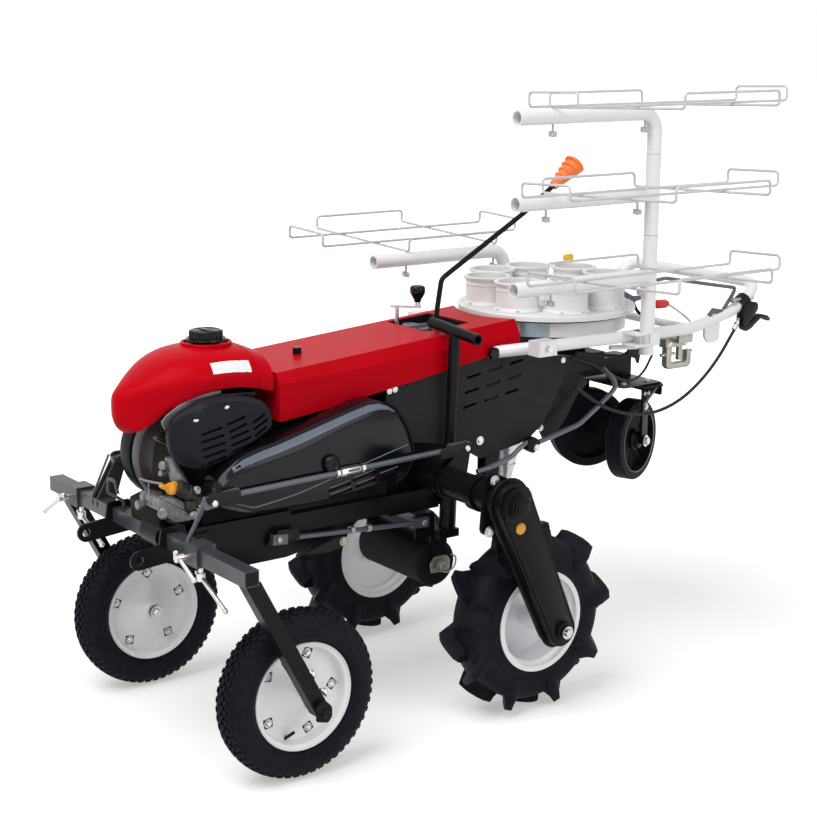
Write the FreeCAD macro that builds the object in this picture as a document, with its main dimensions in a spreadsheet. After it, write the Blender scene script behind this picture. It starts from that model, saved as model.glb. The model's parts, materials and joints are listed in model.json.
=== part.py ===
import FreeCAD, Part
import math
import os

# Walk-behind single-row vegetable transplanter. Millimetres, +X to the machine's left, +Y to the
# rear where the operator walks, +Z up. Sizes are measured from the ground and, along the machine,
# from the front axle. At the end everything is set about the middle of the machine on the ground.

doc = FreeCAD.newDocument("Transplanter")
sheet = doc.addObject("Spreadsheet::Sheet", "Sizes")

sizes = dict(
    frameMiddle=588.9,
    clearance=0.3,
    # front wheels, legs and beam
    frontTrack=634.0,
    frontWheelRadius=178.0,
    frontTyreWidth=80.0,
    rimRadius=110.0,
    rimHalfWidth=31.0,
    sheetWall=3.0,
    legTube=32.0,
    legX=392.0,
    axlePin=9.0,
    windowCount=5,
    beamY=-165.0,
    beamZ=480.0,
    beamTube=32.0,
    beamHalf=425.0,
    noseY=-243.0,
    noseZ=450.0,
    noseHole=9.0,
    # drive wheels and chain cases
    driveTrack=614.0,
    driveY=618.0,
    driveZ=213.0,
    driveRadius=213.0,
    driveTyreWidth=96.0,
    driveRimHalfWidth=52.0,
    lugHeight=26.0,
    lugCount=9,
    axleY=478.0,
    axleZ=520.0,
    axleTubeRadius=33.0,
    caseInnerX=386.0,
    caseWidth=44.0,
    # frame and cover
    railX=100.0,
    railWidth=30.0,
    railHeight=42.0,
    railZ=442.0,
    coverHalf=125.0,
    coverCrease=113.0,
    coverWall=2.5,
    coverFrontY=89.0,
    coverEdgeFrontZ=771.0,
    coverEdgeRearZ=812.0,
    coverTopFrontZ=795.0,
    coverTopRearZ=848.0,
    coverRearY=760.0,
    tankHalf=112.0,
    tankRearY=84.0,
    # turntable
    turntableY=921.0,
    turntableZ=840.0,
    turntableRadius=212.0,
    turntableGap=10.0,
    cupCount=8,
    cupRing=148.0,
    cupRadius=50.0,
    cupHeight=67.0,
    # handlebar and tray posts
    handleX=228.0,
    handleTubeRadius=14.0,
    handleZ=797.0,
    handleTopZ=884.0,
    handleRearY=1410.0,
    postX=262.0,
    postY=1004.0,
    postTubeRadius=17.0,
    postWall=3.0,
    poleClearance=0.5,
    armLowZ=941.0,
    armMidZ=1127.0,
    armTopZ=1310.0,
    armFrontY=600.0,
    rackRod=3.0,
    rackBend=9.0,
    rackReach=302.0,
    rackSpread=74.0,
    rackHalfWidth=202.0,
    rackStep=136.0,
    rackFence=30.0,
    rackTilt=2.2,
    # rollers
    rollerRadius=54.0,
    rollerHalf=116.0,
    rollerY=508.0,
    rollerZ=305.0,
    pressRadius=100.0,
    pressWidth=44.0,
    pressX=80.0,
    pressY=1140.0,
    pressZ=500.0,
    pressToe=20.0,
)


class Size:
    """A number that carries the spreadsheet expression it comes from."""

    def __init__(self, value, text):
        self.value, self.text = float(value), text

    def __float__(self):
        return self.value

    def _join(self, other, sign, swap=False):
        other = other if isinstance(other, Size) else Size(other, repr(float(other)))
        a, b = (other, self) if swap else (self, other)
        value = {"+": a.value + b.value, "-": a.value - b.value, "*": a.value * b.value}.get(sign)
        if sign == "/":
            value = a.value / b.value
        return Size(value, "(" + a.text + " " + sign + " " + b.text + ")")

    def __add__(self, other):
        return self._join(other, "+")

    def __radd__(self, other):
        return self._join(other, "+", True)

    def __sub__(self, other):
        return self._join(other, "-")

    def __rsub__(self, other):
        return self._join(other, "-", True)

    def __mul__(self, other):
        return self._join(other, "*")

    def __rmul__(self, other):
        return self._join(other, "*", True)

    def __truediv__(self, other):
        return self._join(other, "/")

    def __neg__(self):
        return self._join(0, "-", True)


cells = {}
for row, (alias, number) in enumerate(sizes.items(), 1):
    sheet.set("A%d" % row, alias)
    sheet.set("B%d" % row, repr(number))
    sheet.setAlias("B%d" % row, alias)
    cells[alias] = Size(number, "Sizes." + alias)
doc.recompute()
S = cells
middle = S["frameMiddle"]
pieces = []


def bind(thing, prop, size):
    """Sets a property, and ties it to the sheet where its size comes from there."""
    if isinstance(size, Size):
        thing.setExpression(prop, size.text)
    else:
        owner, parts = thing, prop.split(".")
        if len(parts) == 1:
            setattr(owner, prop, size)
        else:
            thing.setExpression(prop, repr(float(size)))


def vec(x, y, z):
    return FreeCAD.Vector(float(x), float(y), float(z))


def piece(thing, label, x=0.0, y=0.0, z=0.0):
    """Names a finished sub-part and places it in the machine's frame."""
    thing.Label = label
    thing.setExpression("Placement.Base.x", (x if isinstance(x, Size) else Size(x, repr(float(x)))).text)
    thing.setExpression("Placement.Base.y", (y - middle).text)
    thing.setExpression("Placement.Base.z", (z if isinstance(z, Size) else Size(z, repr(float(z)))).text)
    pieces.append(thing)
    return thing


def feature(name, shape):
    made = doc.addObject("Part::Feature", name)
    made.Shape = shape
    return made


def corners(points):
    """Straight and arc geometry of a closed outline; each corner is (u, v) or (u, v, radius)."""
    spots = [FreeCAD.Vector(float(p[0]), float(p[1]), 0) for p in points]
    radii = [float(p[2]) if len(p) > 2 else 0.0 for p in points]
    ends, made = [], []
    for i, (spot, radius) in enumerate(zip(spots, radii)):
        before = (spots[i - 1] - spot).normalize()
        after = (spots[(i + 1) % len(spots)] - spot).normalize()
        if radius <= 0 or (before + after).Length < 1e-6:
            ends.append((spot, None, spot))
            continue
        half = math.acos(max(-1.0, min(1.0, before.dot(after)))) / 2
        reach = radius / math.tan(half)
        inward = (before + after).normalize()
        centre = spot + inward * (radius / math.sin(half))
        ends.append((spot + before * reach, centre - inward * radius, spot + after * reach))
    for i, (start, top, end) in enumerate(ends):
        if top is not None:
            made.append(Part.Arc(start, top, end))
        following = ends[(i + 1) % len(ends)][0]
        if end.distanceToPoint(following) > 1e-6:
            made.append(Part.LineSegment(end, following))
    return made


def flat(points, plane, level=0.0):
    """A face with that outline, in the plane at that level."""
    wire = Part.Wire([g.toShape() for g in corners(points)])
    face = Part.Face(wire)
    if plane == "YZ":
        face.rotate(vec(0, 0, 0), vec(1, 1, 1), 120)
        face.translate(vec(level, 0, 0))
    elif plane == "XZ":
        face.rotate(vec(0, 0, 0), vec(1, 0, 0), 90)
        face.translate(vec(0, level, 0))
    else:
        face.translate(vec(0, 0, level))
    return face


def body(name):
    return doc.addObject("PartDesign::Body", name)


def sketch(owner, name, plane, points, level=0.0):
    made = owner.newObject("Sketcher::SketchObject", name)
    base = [f for f in owner.Origin.OriginFeatures if f.Role == plane + "_Plane"][0]
    made.AttachmentSupport = [(base, "")]
    made.MapMode = "FlatFace"
    made.addGeometry(corners(points), False)
    if isinstance(level, Size):
        made.setExpression("AttachmentOffset.Base.z", level.text)
    elif level:
        made.AttachmentOffset = FreeCAD.Placement(FreeCAD.Vector(0, 0, level), FreeCAD.Rotation())
    return made


def pad(owner, name, plane, points, start, end):
    """Pads an outline between two levels of its plane. Levels of an XZ outline count along +Y."""
    level = -end if plane == "XZ" else start
    outline = sketch(owner, name + "Sketch", plane, points, level)
    made = owner.newObject("PartDesign::Pad", name)
    made.Profile = outline
    bind(made, "Length", end - start)
    owner.Tip = made
    return made


def pocket(owner, name, plane, points, start, end):
    """Cuts an outline out between two levels of its plane."""
    level = -start if plane == "XZ" else end
    outline = sketch(owner, name + "Sketch", plane, points, level)
    made = owner.newObject("PartDesign::Pocket", name)
    made.Profile = outline
    bind(made, "Length", end - start)
    owner.Tip = made
    return made


def revolve(owner, name, points):
    """Turns an outline given as (x, radius) about the X axis."""
    outline = sketch(owner, name + "Sketch", "XY", points)
    made = owner.newObject("PartDesign::Revolution", name)
    made.Profile = outline
    made.ReferenceAxis = (outline, ["H_Axis"])
    made.Angle = 360
    owner.Tip = made
    return made


def polar(owner, name, feature_, count):
    """Repeats a feature round the body's X axis."""
    made = owner.newObject("PartDesign::PolarPattern", name)
    made.Originals = [feature_]
    axis = [f for f in owner.Origin.OriginFeatures if f.Role == "X_Axis"][0]
    made.Axis = (axis, [""])
    made.Angle = 360
    made.Occurrences = int(count)
    owner.Tip = made
    return made


def path(points, radius):
    """Straight runs joined by arcs of one radius, or of a radius given as a corner's fourth number."""
    spots = [vec(*p[:3]) for p in points]
    edges, last = [], spots[0]
    for i in range(1, len(spots) - 1):
        before = (spots[i - 1] - spots[i]).normalize()
        after = (spots[i + 1] - spots[i]).normalize()
        bend = float(points[i][3]) if len(points[i]) > 3 else float(radius)
        half = math.acos(max(-1.0, min(1.0, before.dot(after)))) / 2
        reach = bend / math.tan(half)
        inward = (before + after).normalize()
        centre = spots[i] + inward * (bend / math.sin(half))
        start, top, end = spots[i] + before * reach, centre - inward * bend, spots[i] + after * reach
        edges.append(Part.LineSegment(last, start).toShape())
        edges.append(Part.Arc(start, top, end).toShape())
        last = end
    edges.append(Part.LineSegment(last, spots[-1]).toShape())
    return Part.Wire(edges)


def tube(points, radius, bend, bore=0.0):
    """A round tube or rod along runs and arcs."""
    line = path(points, bend)
    start = line.OrderedVertexes[0].Point
    along = line.OrderedEdges[0].tangentAt(line.OrderedEdges[0].FirstParameter)
    if (line.OrderedEdges[0].valueAt(line.OrderedEdges[0].FirstParameter) - start).Length > 1e-3:
        along = along.negative()

    def sweep(size):
        ring = Part.Wire([Part.makeCircle(float(size), start, along)])
        return line.makePipeShell([ring], True, False)

    solid = sweep(radius)
    return solid.cut(sweep(bore)) if float(bore) > 0 else solid


def bar(start, end, wide, deep, up=(0, 0, 1)):
    """A rectangular bar between two points; deep is measured nearest to the up direction."""
    a, b = vec(*start), vec(*end)
    along = (b - a).normalize()
    side = along.cross(vec(*up)).normalize()
    over = side.cross(along)
    w, d = float(wide) / 2, float(deep) / 2
    ring = [a + side * i * w + over * j * d for i, j in ((1, 1), (-1, 1), (-1, -1), (1, -1), (1, 1))]
    return Part.Face(Part.makePolygon(ring)).extrude(b - a)


def stick(start, end, radius):
    a, b = vec(*start), vec(*end)
    return Part.makeCylinder(float(radius), (b - a).Length, a, b - a)


def block(x0, x1, y0, y1, z0, z1):
    spot = vec(x0, y0, z0)
    return Part.makeBox(float(x1) - float(x0), float(y1) - float(y0), float(z1) - float(z0), spot)


def join(*shapes):
    made = shapes[0]
    for shape in shapes[1:]:
        made = made.fuse(shape)
    return made.removeSplitter()


def slab(points, plane, start, end):
    along = {"YZ": vec(1, 0, 0), "XZ": vec(0, 1, 0), "XY": vec(0, 0, 1)}[plane]
    return flat(points, plane, start).extrude(along * (float(end) - float(start)))


def oval(c1, r1, c2, r2):
    """The outline of two circles and the straight sides that touch both, as a face in the YZ plane."""
    a, b = vec(0, *c1), vec(0, *c2)
    along = (b - a).normalize()
    side = vec(1, 0, 0).cross(along)
    lean = (float(r1) - float(r2)) / (b - a).Length
    rise = math.sqrt(1 - lean * lean)
    up = [side * s * rise + along * lean for s in (1, -1)]
    p = [a + up[0] * float(r1), b + up[0] * float(r2), b + up[1] * float(r2), a + up[1] * float(r1)]
    edges = [
        Part.LineSegment(p[0], p[1]).toShape(),
        Part.Arc(p[1], b + along * float(r2), p[2]).toShape(),
        Part.LineSegment(p[2], p[3]).toShape(),
        Part.Arc(p[3], a - along * float(r1), p[0]).toShape(),
    ]
    return Part.Face(Part.Wire(edges))


sides = (("left", 1), ("right", -1))
gap = S["clearance"]

# ---------------------------------------------------------------- front wheels


def wheelTyre(label, side, radius, width, bead, halfRim, x, y, z):
    """A tyre with a rounded tread and bulged walls, seated on its rim."""
    tyre = body(label.replace("_", ""))
    crown, seat, deep = width * 0.32, halfRim - S["sheetWall"] - gap, radius - bead
    soft, shoulder = float(deep) * 0.18, radius - deep * 0.3
    revolve(tyre, "Section", [
        (-seat, bead), (-seat, bead + deep * 0.09), (-width / 2, bead + deep * 0.38, soft),
        (-width / 2, shoulder, soft), (-crown, radius, soft), (crown, radius, soft),
        (width / 2, shoulder, soft),
        (width / 2, bead + deep * 0.38, soft), (seat, bead + deep * 0.09), (seat, bead),
    ])
    return piece(tyre, label, x, y, z)


def wheelRim(label, side, bead, half, dish, hub, x, y, z, stub, bore, windows=0):
    """A dished steel rim: rolled flanges, drop well, cone disc and hub tube."""
    wall = S["sheetWall"]
    rim = body(label.replace("_", ""))
    s = float(side)
    barrel = [
        (-half, bead + 5), (-half + wall, bead + 5), (-half + wall, bead - gap),
        (-half + 14, bead - wall), (-half + 18, bead - 11), (half - 18, bead - 11),
        (half - 14, bead - wall), (half - wall, bead - gap), (half - wall, bead + 5),
        (half, bead + 5), (half, bead - 2 * wall), (half - 12, bead - 2 * wall),
        (half - 17, bead - 11 - wall), (-half + 17, bead - 11 - wall),
        (-half + 12, bead - 2 * wall), (-half, bead - 2 * wall),
    ]
    revolve(rim, "Barrel", barrel)
    rootR = bead - 11 - wall
    disc = [
        (s * (dish[0]), rootR), (s * (dish[0] + wall), rootR),
        (s * (dish[1] + wall), hub), (s * dish[1], hub),
    ]
    revolve(rim, "Disc", disc)
    low, high = sorted((s * stub[0], s * stub[1]))
    revolve(rim, "Hub", [(low, bore), (high, bore), (high, hub), (low, hub)])
    if windows:
        middleR, size = float(rootR) - 14, 9
        square = [(-size, middleR - size, 2), (size, middleR - size, 2), (size, middleR + size, 2),
                  (-size, middleR + size, 2)]
        through = sorted((s * (dish[0] - 6), s * (dish[1] - 4)))
        window = pocket(rim, "Window", "YZ", square, *through)
        polar(rim, "Windows", window, windows)
    return piece(rim, label, x, y, z)


for name, side in sides:
    x = side * S["frontTrack"] / 2
    wheelTyre("front_tyre_" + name, side, S["frontWheelRadius"], S["frontTyreWidth"],
              S["rimRadius"], S["rimHalfWidth"], x, 0, S["frontWheelRadius"])
    reach = float(S["legX"] - S["legTube"] / 2 - S["frontTrack"] / 2) - 8
    wheelRim("front_rim_" + name, side, S["rimRadius"], S["rimHalfWidth"], (2, 20), 17, x, 0,
             S["frontWheelRadius"], (-34, reach), S["axlePin"] + gap, S["windowCount"].value)

# ---------------------------------------------------------------- drive wheels

for name, side in sides:
    x = side * S["driveTrack"] / 2
    tyre = body("DriveTyre" + name)
    width, outer, bead = S["driveTyreWidth"], S["driveRadius"] - S["lugHeight"], S["rimRadius"]
    seat, deep = S["driveRimHalfWidth"] - S["sheetWall"] - gap, outer - bead
    soft = float(deep) * 0.12
    revolve(tyre, "Section", [
        (-seat, bead), (-seat, bead + deep * 0.1), (-width / 2, bead + deep * 0.28, soft),
        (-width / 2, outer - deep * 0.2, soft), (-width * 0.3, outer, soft), (width * 0.3, outer, soft),
        (width / 2, outer - deep * 0.2, soft), (width / 2, bead + deep * 0.28, soft),
        (seat, bead + deep * 0.1), (seat, bead),
    ])
    # an odd number of paddles a side, one side's begun at the top and the other's below, so they alternate
    foot, tip = outer - 14, outer + S["lugHeight"]
    for tag, hand, levels in (("Left", 1, (foot, tip)), ("Right", -1, (-tip, -foot))):
        lug = pad(tyre, "Lug" + tag, "XY", [
            (hand * 1, hand * -28), (hand * width / 2, hand * 7), (hand * width / 2, hand * 29),
            (hand * 1, hand * -4),
        ], *levels)
        polar(tyre, "Lugs" + tag, lug, S["lugCount"].value)
    piece(tyre, "drive_tyre_" + name, x, S["driveY"], S["driveZ"])
    reach = float(S["caseInnerX"] - S["driveTrack"] / 2) - 0.5
    wheelRim("drive_rim_" + name, side, S["rimRadius"], S["driveRimHalfWidth"], (-24, -6), 24, x,
             S["driveY"], S["driveZ"], (-30, reach + 14), 8)

# ---------------------------------------------------------------- front beam and legs

beamY, beamZ, half = S["beamY"], S["beamZ"], S["beamTube"] / 2
for name, side in sides:
    top = vec(side * S["legX"], beamY + 12, beamZ - half)
    foot = vec(side * S["legX"], 8, S["frontWheelRadius"] - 16)
    leg = bar(top + (top - foot).normalize() * 40, foot, S["legTube"], S["legTube"])
    hubZ, inner = S["frontWheelRadius"], S["legX"] - S["legTube"] / 2
    boss = stick((side * (inner - 7), 0, hubZ), (side * (S["legX"] + 26), 0, hubZ), 14)
    pin = stick((side * (S["frontTrack"] / 2 - 42), 0, hubZ), (side * inner, 0, hubZ), S["axlePin"])
    inside = S["frontTrack"] / 2 - 42
    nut = stick((side * inside, 0, hubZ), (side * (inside + 6), 0, hubZ), 14)
    leg = leg.cut(block(-600, 600, beamY - 60, beamY + 60, beamZ - half, beamZ + 200))
    piece(feature("FrontLeg" + name, join(leg, boss, pin, nut)), "front_leg_" + name)

beam = block(-S["beamHalf"], S["beamHalf"], beamY - half, beamY + half, beamZ - half, beamZ + half)
inner = half - 3
beam = beam.cut(block(-S["beamHalf"] - 1, S["beamHalf"] + 1, beamY - inner, beamY + inner,
                      beamZ - inner, beamZ + inner))
collars = []
clampX = {1: 230.0, -1: 300.0}
for side in (1, -1):
    x0, x1 = sorted((side * (clampX[side] - 24), side * (clampX[side] + 24)))
    collar = block(x0, x1, beamY - half - 6, beamY + half + 6, beamZ - half - 6, beamZ + half + 6)
    collar = collar.cut(block(x0 - 1, x1 + 1, beamY - half, beamY + half, beamZ - half, beamZ + half))
    collars.append(collar)
    pinY, pinZ = -122, 572
    if side == 1:
        collars.append(stick((187, pinY, pinZ), (187, beamY - 7, beamZ + half - 1.5), 4.5))
    for x in (188, 208) if side == -1 else ():
        x0, x1 = sorted((side * float(x), side * (x + 4.0)))
        rocker = oval((beamY + 4, beamZ + 6), 22, (pinY, pinZ), 13)
        rocker.translate(vec(x0, 0, 0))
        rocker = rocker.extrude(vec(x1 - x0, 0, 0))
        rocker = rocker.cut(block(x0 - 1, x1 + 1, beamY - half, beamY + half, beamZ - half, beamZ + half))
        collars.append(rocker)
    collars.append(stick((side * 186, pinY, pinZ), (side * 216, pinY, pinZ), 6))
hook = tube([(-95, beamY, beamZ + half - 3), (-95, beamY, 512), (-118, -190, 530), (-112, -190, 562),
             (-84, -190, 562), (-70, -190, 538)], 3.5, 9)
collars.append(hook.cut(block(-200, 0, beamY - inner, beamY + inner, beamZ - inner, beamZ + inner)))
piece(feature("FrontBeam", join(beam, *collars)), "front_beam")

screws = []
swings = {1: ((58, -30), (93, -45)), -1: ((-88, -52), (95, -45))}
for side in (1, -1):
    x, face, under = side * clampX[side], float(beamY - half) - 6, float(beamZ - half) - 6
    spots = (((x, face, beamZ), (0, -1, 0)), ((x, float(beamY), under), (0, 0, -1)))
    for (spot, way), (reach, drop) in zip(spots, swings[side]):
        out = vec(*way)
        root, hole = vec(*spot), vec(*spot) + out * 26
        bar_ = vec(reach, 0, drop).normalize()
        shank = stick(root, root + out * 20, 5)
        head = stick(root + out * 18, root + out * 34, 9)
        tee = stick(hole - bar_ * 14, hole + vec(reach, 0, drop), 4.5)
        knobs = [Part.makeSphere(6, end) for end in (hole - bar_ * 14, hole + vec(reach, 0, drop))]
        screws.append(join(shank, head, tee, *knobs))
piece(feature("ClampScrews", Part.makeCompound(screws)), "clamp_screws")

# ---------------------------------------------------------------- main frame

railX, railW = S["railX"], S["railWidth"]
railTop = S["railZ"] + S["railHeight"]
frontY, rearY = beamY + half + 22, 690.0
parts = []
for side in (1, -1):
    x0, x1 = sorted((float(side * (railX - railW / 2)), float(side * (railX + railW / 2))))
    parts.append(block(x0, x1, frontY, rearY, S["railZ"], railTop))
    parts.append(block(x0, x1, rearY - 40, rearY, railTop, 700))
    parts.append(block(x0, x1, rearY - 40, 1010, 700, 740))
    lug = side * float(railX)
    parts.append(block(min(lug, lug + side * 15), max(lug, lug + side * 15), 60, 96, 424, S["railZ"]))
    parts.append(stick((side * 110, 78, 441), (side * 138, 78, 441), 6))
cross = float(railX - railW / 2)
for y0, y1 in ((float(frontY), float(frontY) + 30), (130, 170), (330, 370)):
    parts.append(block(-cross, cross, y0, y1, S["railZ"], railTop))
parts.append(block(-cross, cross, 980, 1010, 700, 740))
parts.append(block(-115, 115, -110, 120, railTop, railTop + 10))
piece(feature("MainFrame", join(*parts)), "main_frame")

plates = []
for side in (1, -1):
    x0, x1 = sorted((side * 115.3, side * 121.3))
    nose = oval((S["noseY"], S["noseZ"]), 20, (-84, 464), 20)
    nose.translate(vec(x0, 0, 0))
    hoop = slab([(-200, 460), (-192, 508, 6), (-138, 508, 6), (-130, 460)], "YZ", x0, x1)
    plate = join(nose.extrude(vec(x1 - x0, 0, 0)), hoop)
    tight = half + gap
    plate = plate.cut(block(-200, 200, beamY - tight, beamY + tight, beamZ - tight, beamZ + tight))
    plate = plate.cut(stick((-200, S["noseY"], S["noseZ"]), (200, S["noseY"], S["noseZ"]), S["noseHole"]))
    plates.append(plate)
piece(feature("BeamBrackets", Part.makeCompound(plates)), "beam_brackets")

# ---------------------------------------------------------------- transmission and axle

gearHalf = float(railX - railW / 2) - float(gap)
gear = join(
    block(-gearHalf, gearHalf, 395, 565, railTop, 690).cut(block(-90, 90, 395, 430, 640, 690)),
    block(-60, 60, 565, 610, 560, 680),
    block(-70, 70, 410, 550, 420, railTop),
)
piece(feature("Gearcase", gear), "transmission_case")
axleY, axleZ, axleR = S["axleY"], S["axleZ"], S["axleTubeRadius"]
tubes = []
for side in (1, -1):
    shaft = stick((side * 85.0, axleY, axleZ), (side * (S["caseInnerX"] - 8), axleY, axleZ), axleR)
    ring = stick((side * 300.0, axleY, axleZ), (side * 322.0, axleY, axleZ), axleR + 7)
    lobes = [(math.radians(a), reach) for a, reach in ((4, 64), (120, 56), (236, 72))]
    ear = [(float(axleY) + (reach + 30) * math.cos(a), float(axleZ) + (reach + 30) * math.sin(a), 16)
           for a, reach in lobes]
    x0, x1 = sorted((float(side * (S["caseInnerX"] - 10)), float(side * S["caseInnerX"])))
    made = [shaft, ring, slab(ear, "YZ", x0, x1)]
    for a, reach in lobes:
        y, z = float(axleY) + reach * math.cos(a), float(axleZ) + reach * math.sin(a)
        made.append(stick((side * (S["caseInnerX"] - 18), y, z), (side * (S["caseInnerX"] + 7), y, z), 6))
    for x in (188, 208):
        a0, a1 = sorted((side * float(x), side * (x + 4.0)))
        rocker = oval((axleY, axleZ), axleR + 5, (516, 593), 13)
        rocker.translate(vec(a0, 0, 0))
        made.append(rocker.extrude(vec(a1 - a0, 0, 0)))
    made.append(stick((side * 186, 516, 593), (side * 216, 516, 593), 6))
    if side > 0:
        made.append(block(118.6, 166, axleY, 545, 505, 530))
    whole = join(*made)
    if side > 0:
        whole = whole.cut(stick((133, 526.5, 392), (150, 528, 826), 13.3))
    tubes.append(whole)
piece(feature("AxleHousing", Part.makeCompound(tubes)), "axle_housing")


for name, side in sides:
    top, low = (axleY, axleZ), (S["driveY"], S["driveZ"])
    start = float(side * S["caseInnerX"])
    parts = []
    centre = S["caseWidth"] / 2
    for r1, r2, x0, x1 in ((46, 36, gap, S["caseWidth"]), (52, 42, centre - 4, centre + 4)):
        face = oval(top, r1, low, r2)
        face.translate(vec(start + side * float(x0), 0, 0))
        parts.append(face.extrude(vec(side * (float(x1) - float(x0)), 0, 0)))
    wide = S["caseInnerX"] + S["caseWidth"]
    for radius, length in ((38, 8), (30, 16), (22, 26)):
        parts.append(stick((side * wide, axleY, axleZ), (side * (wide + length), axleY, axleZ), radius))
    for radius, length in ((22, 8), (15, 14), (9, 24)):
        parts.append(stick((side * wide, low[0], low[1]), (side * (wide + length), low[0], low[1]), radius))
    plug = (float(axleY) + 10, float(axleZ) - 52)
    parts.append(stick((side * wide, *plug), (side * (wide + 5), *plug), 12))
    case = join(*parts)
    bore = stick((side * (S["caseInnerX"] - 5), *low), (side * (S["caseInnerX"] + 20), *low), 24.5)
    piece(feature("ChainCase" + name, case.cut(bore)), "chain_case_" + name)

# ---------------------------------------------------------------- engine

crankY, crankZ = -30.0, 605.0
bed = float(railTop) + 10
engine = join(
    block(-34, 112, -95, 82, bed, 660),
    block(-20, 90, -185, -95, 575, 665),
    block(10, 80, -170, -110, 665, 700),
    stick((80, -140, 690), (118.7, -140, 690), 16),
    stick((-34, crankY, crankZ), (118.7, crankY, crankZ), 58),
    block(-33.9, 80, -60, 60, 655, 772),
)
fan = join(
    stick((-128, crankY, crankZ), (-34.3, crankY, crankZ), 112),
    stick((-152, crankY, crankZ), (-128, crankY, crankZ), 78),
)
fan = fan.cut(block(-200, 0, -200, 200, 400, bed + 0.3))
piece(feature("FanHousing", fan), "fan_housing")

coverIn, coverOut = 119.0, 152.0
shell = slab([(-140, 634, 20), (-134, 742, 20), (-88, 768, 24), (8, 755, 30), (58, 730, 16), (56, 690, 16),
              (0, 654, 24), (-92, 622, 24)], "YZ", coverIn, coverOut)
shell = shell.makeFillet(9, [edge for edge in shell.Edges if edge.BoundBox.XMin > coverOut - 0.1])
lobe = slab([(-178, 650, 20), (-176, 738, 24), (-120, 764, 20), (-60, 764), (-60, 640), (-120, 626, 20)],
            "YZ", coverIn, coverIn + 16)
room = join(shell, lobe)
room.translate(vec(0.35, 0.35, -0.4))
slots = [(-113, 698, -65, 707), (-114, 682, -61, 692), (-114, 666, -57, 676), (-109, 650, -58, 660),
         (-101, 635, -58, 645), (-54, 711, -11, 723), (-48, 695, -7, 708), (-46, 681, -3, 693),
         (-44, 666, 2, 679), (-43, 651, 1, 664), (7, 707, 36, 722), (9, 693, 42, 710), (12, 679, 42, 696)]
for ya, za, yb, zb in slots:
    run = oval((ya, za), 2.6, (yb, zb), 2.6)
    run.translate(vec(coverOut - 4, 0, 0))
    shell = shell.cut(run.extrude(vec(8, 0, 0)))
piece(feature("MufflerCover", join(shell, lobe)), "muffler_cover")

carb = join(
    block(90.3, 126, -170, -114, 556, 600),
    stick((108, -142, 528), (108, -142, 556), 19),
)
piece(feature("Carburettor", carb), "carburettor")

# ---------------------------------------------------------------- tank


def tankSection(y, share, low, belly, crease, crown):
    """One cross section: arched crown, a crease along each side, upright band and hollow underside."""
    w, rise = float(S["tankHalf"]) * share, crown - crease

    def arch(spots):
        curve = Part.BSplineCurve()
        curve.interpolate([vec(u, y, v) for u, v in spots])
        return curve.toShape()

    over = arch([(w, crease), (w * 0.88, crease + rise * 0.5), (w * 0.55, crease + rise * 0.85), (0, crown),
                 (-w * 0.55, crease + rise * 0.85), (-w * 0.88, crease + rise * 0.5), (-w, crease)])
    below = arch([(-w, low), (-w * 0.5, belly + (low - belly) * 0.35), (0, belly),
                  (w * 0.5, belly + (low - belly) * 0.35), (w, low)])
    near = Part.LineSegment(vec(w, y, low), vec(w, y, crease)).toShape()
    far = Part.LineSegment(vec(-w, y, crease), vec(-w, y, low)).toShape()
    return Part.Wire([below, near, over, far])


stations = [
    (-230, 0.27, 728, 716, 744, 762), (-222, 0.48, 714, 696, 753, 779), (-205, 0.68, 710, 683, 764, 796),
    (-180, 0.83, 724, 686, 777, 816), (-145, 0.94, 747, 715, 791, 837), (-100, 0.985, 763, 750, 800, 850),
    (-50, 1.0, 773, 765, 804, 853), (0, 1.0, 773, 767, 801, 853), (45, 1.0, 765, 762, 795, 848),
    (float(S["tankRearY"]), 1.0, 754, 752, 786, 834),
]
tank = Part.makeLoft([tankSection(*station) for station in stations], True, False)
neckY, neckZ = -12, 857.0
shell = tank.fuse(stick((0, neckY, 830), (0, neckY, neckZ), 54))
shell = shell.cut(stick((0, neckY, neckZ - 3), (0, neckY, 900), 46))
piece(feature("FuelTank", shell.removeSplitter()), "fuel_tank")
under = tank.copy()
under.translate(vec(0, 0, -0.3))
piece(feature("Engine", engine.cut(under)), "engine")
capR = 34.5
cap = join(
    stick((0, neckY, neckZ - 2.7), (0, neckY, neckZ + 5), 42),
    stick((0, neckY, neckZ + 5), (0, neckY, 881), capR),
)
for i in range(18):
    angle = math.radians(20 * i)
    spot = (capR + 1) * math.cos(angle), neckY + (capR + 1) * math.sin(angle)
    cap = cap.cut(stick((*spot, neckZ + 6), (*spot, 876), 2.6))
piece(feature("FuelCap", cap), "fuel_cap")

# ---------------------------------------------------------------- engine cover (bonnet)


def coverSection(y, shrink):
    share = (y - float(S["coverFrontY"])) / (float(S["coverRearY"]) - float(S["coverFrontY"]))
    edge = float(S["coverEdgeFrontZ"]) + share * float(S["coverEdgeRearZ"] - S["coverEdgeFrontZ"])
    top = float(S["coverTopFrontZ"]) + share * float(S["coverTopRearZ"] - S["coverTopFrontZ"])
    w, c = float(S["coverHalf"]) - shrink, float(S["coverCrease"]) - shrink * 0.7
    points = [(-w, 660), (w, 660), (w, edge - shrink * 0.3), (c, top - shrink), (-c, top - shrink),
              (-w, edge - shrink * 0.3)]
    spots = [vec(u, y, v) for u, v in points]
    return Part.makePolygon(spots + [spots[0]])


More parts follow.
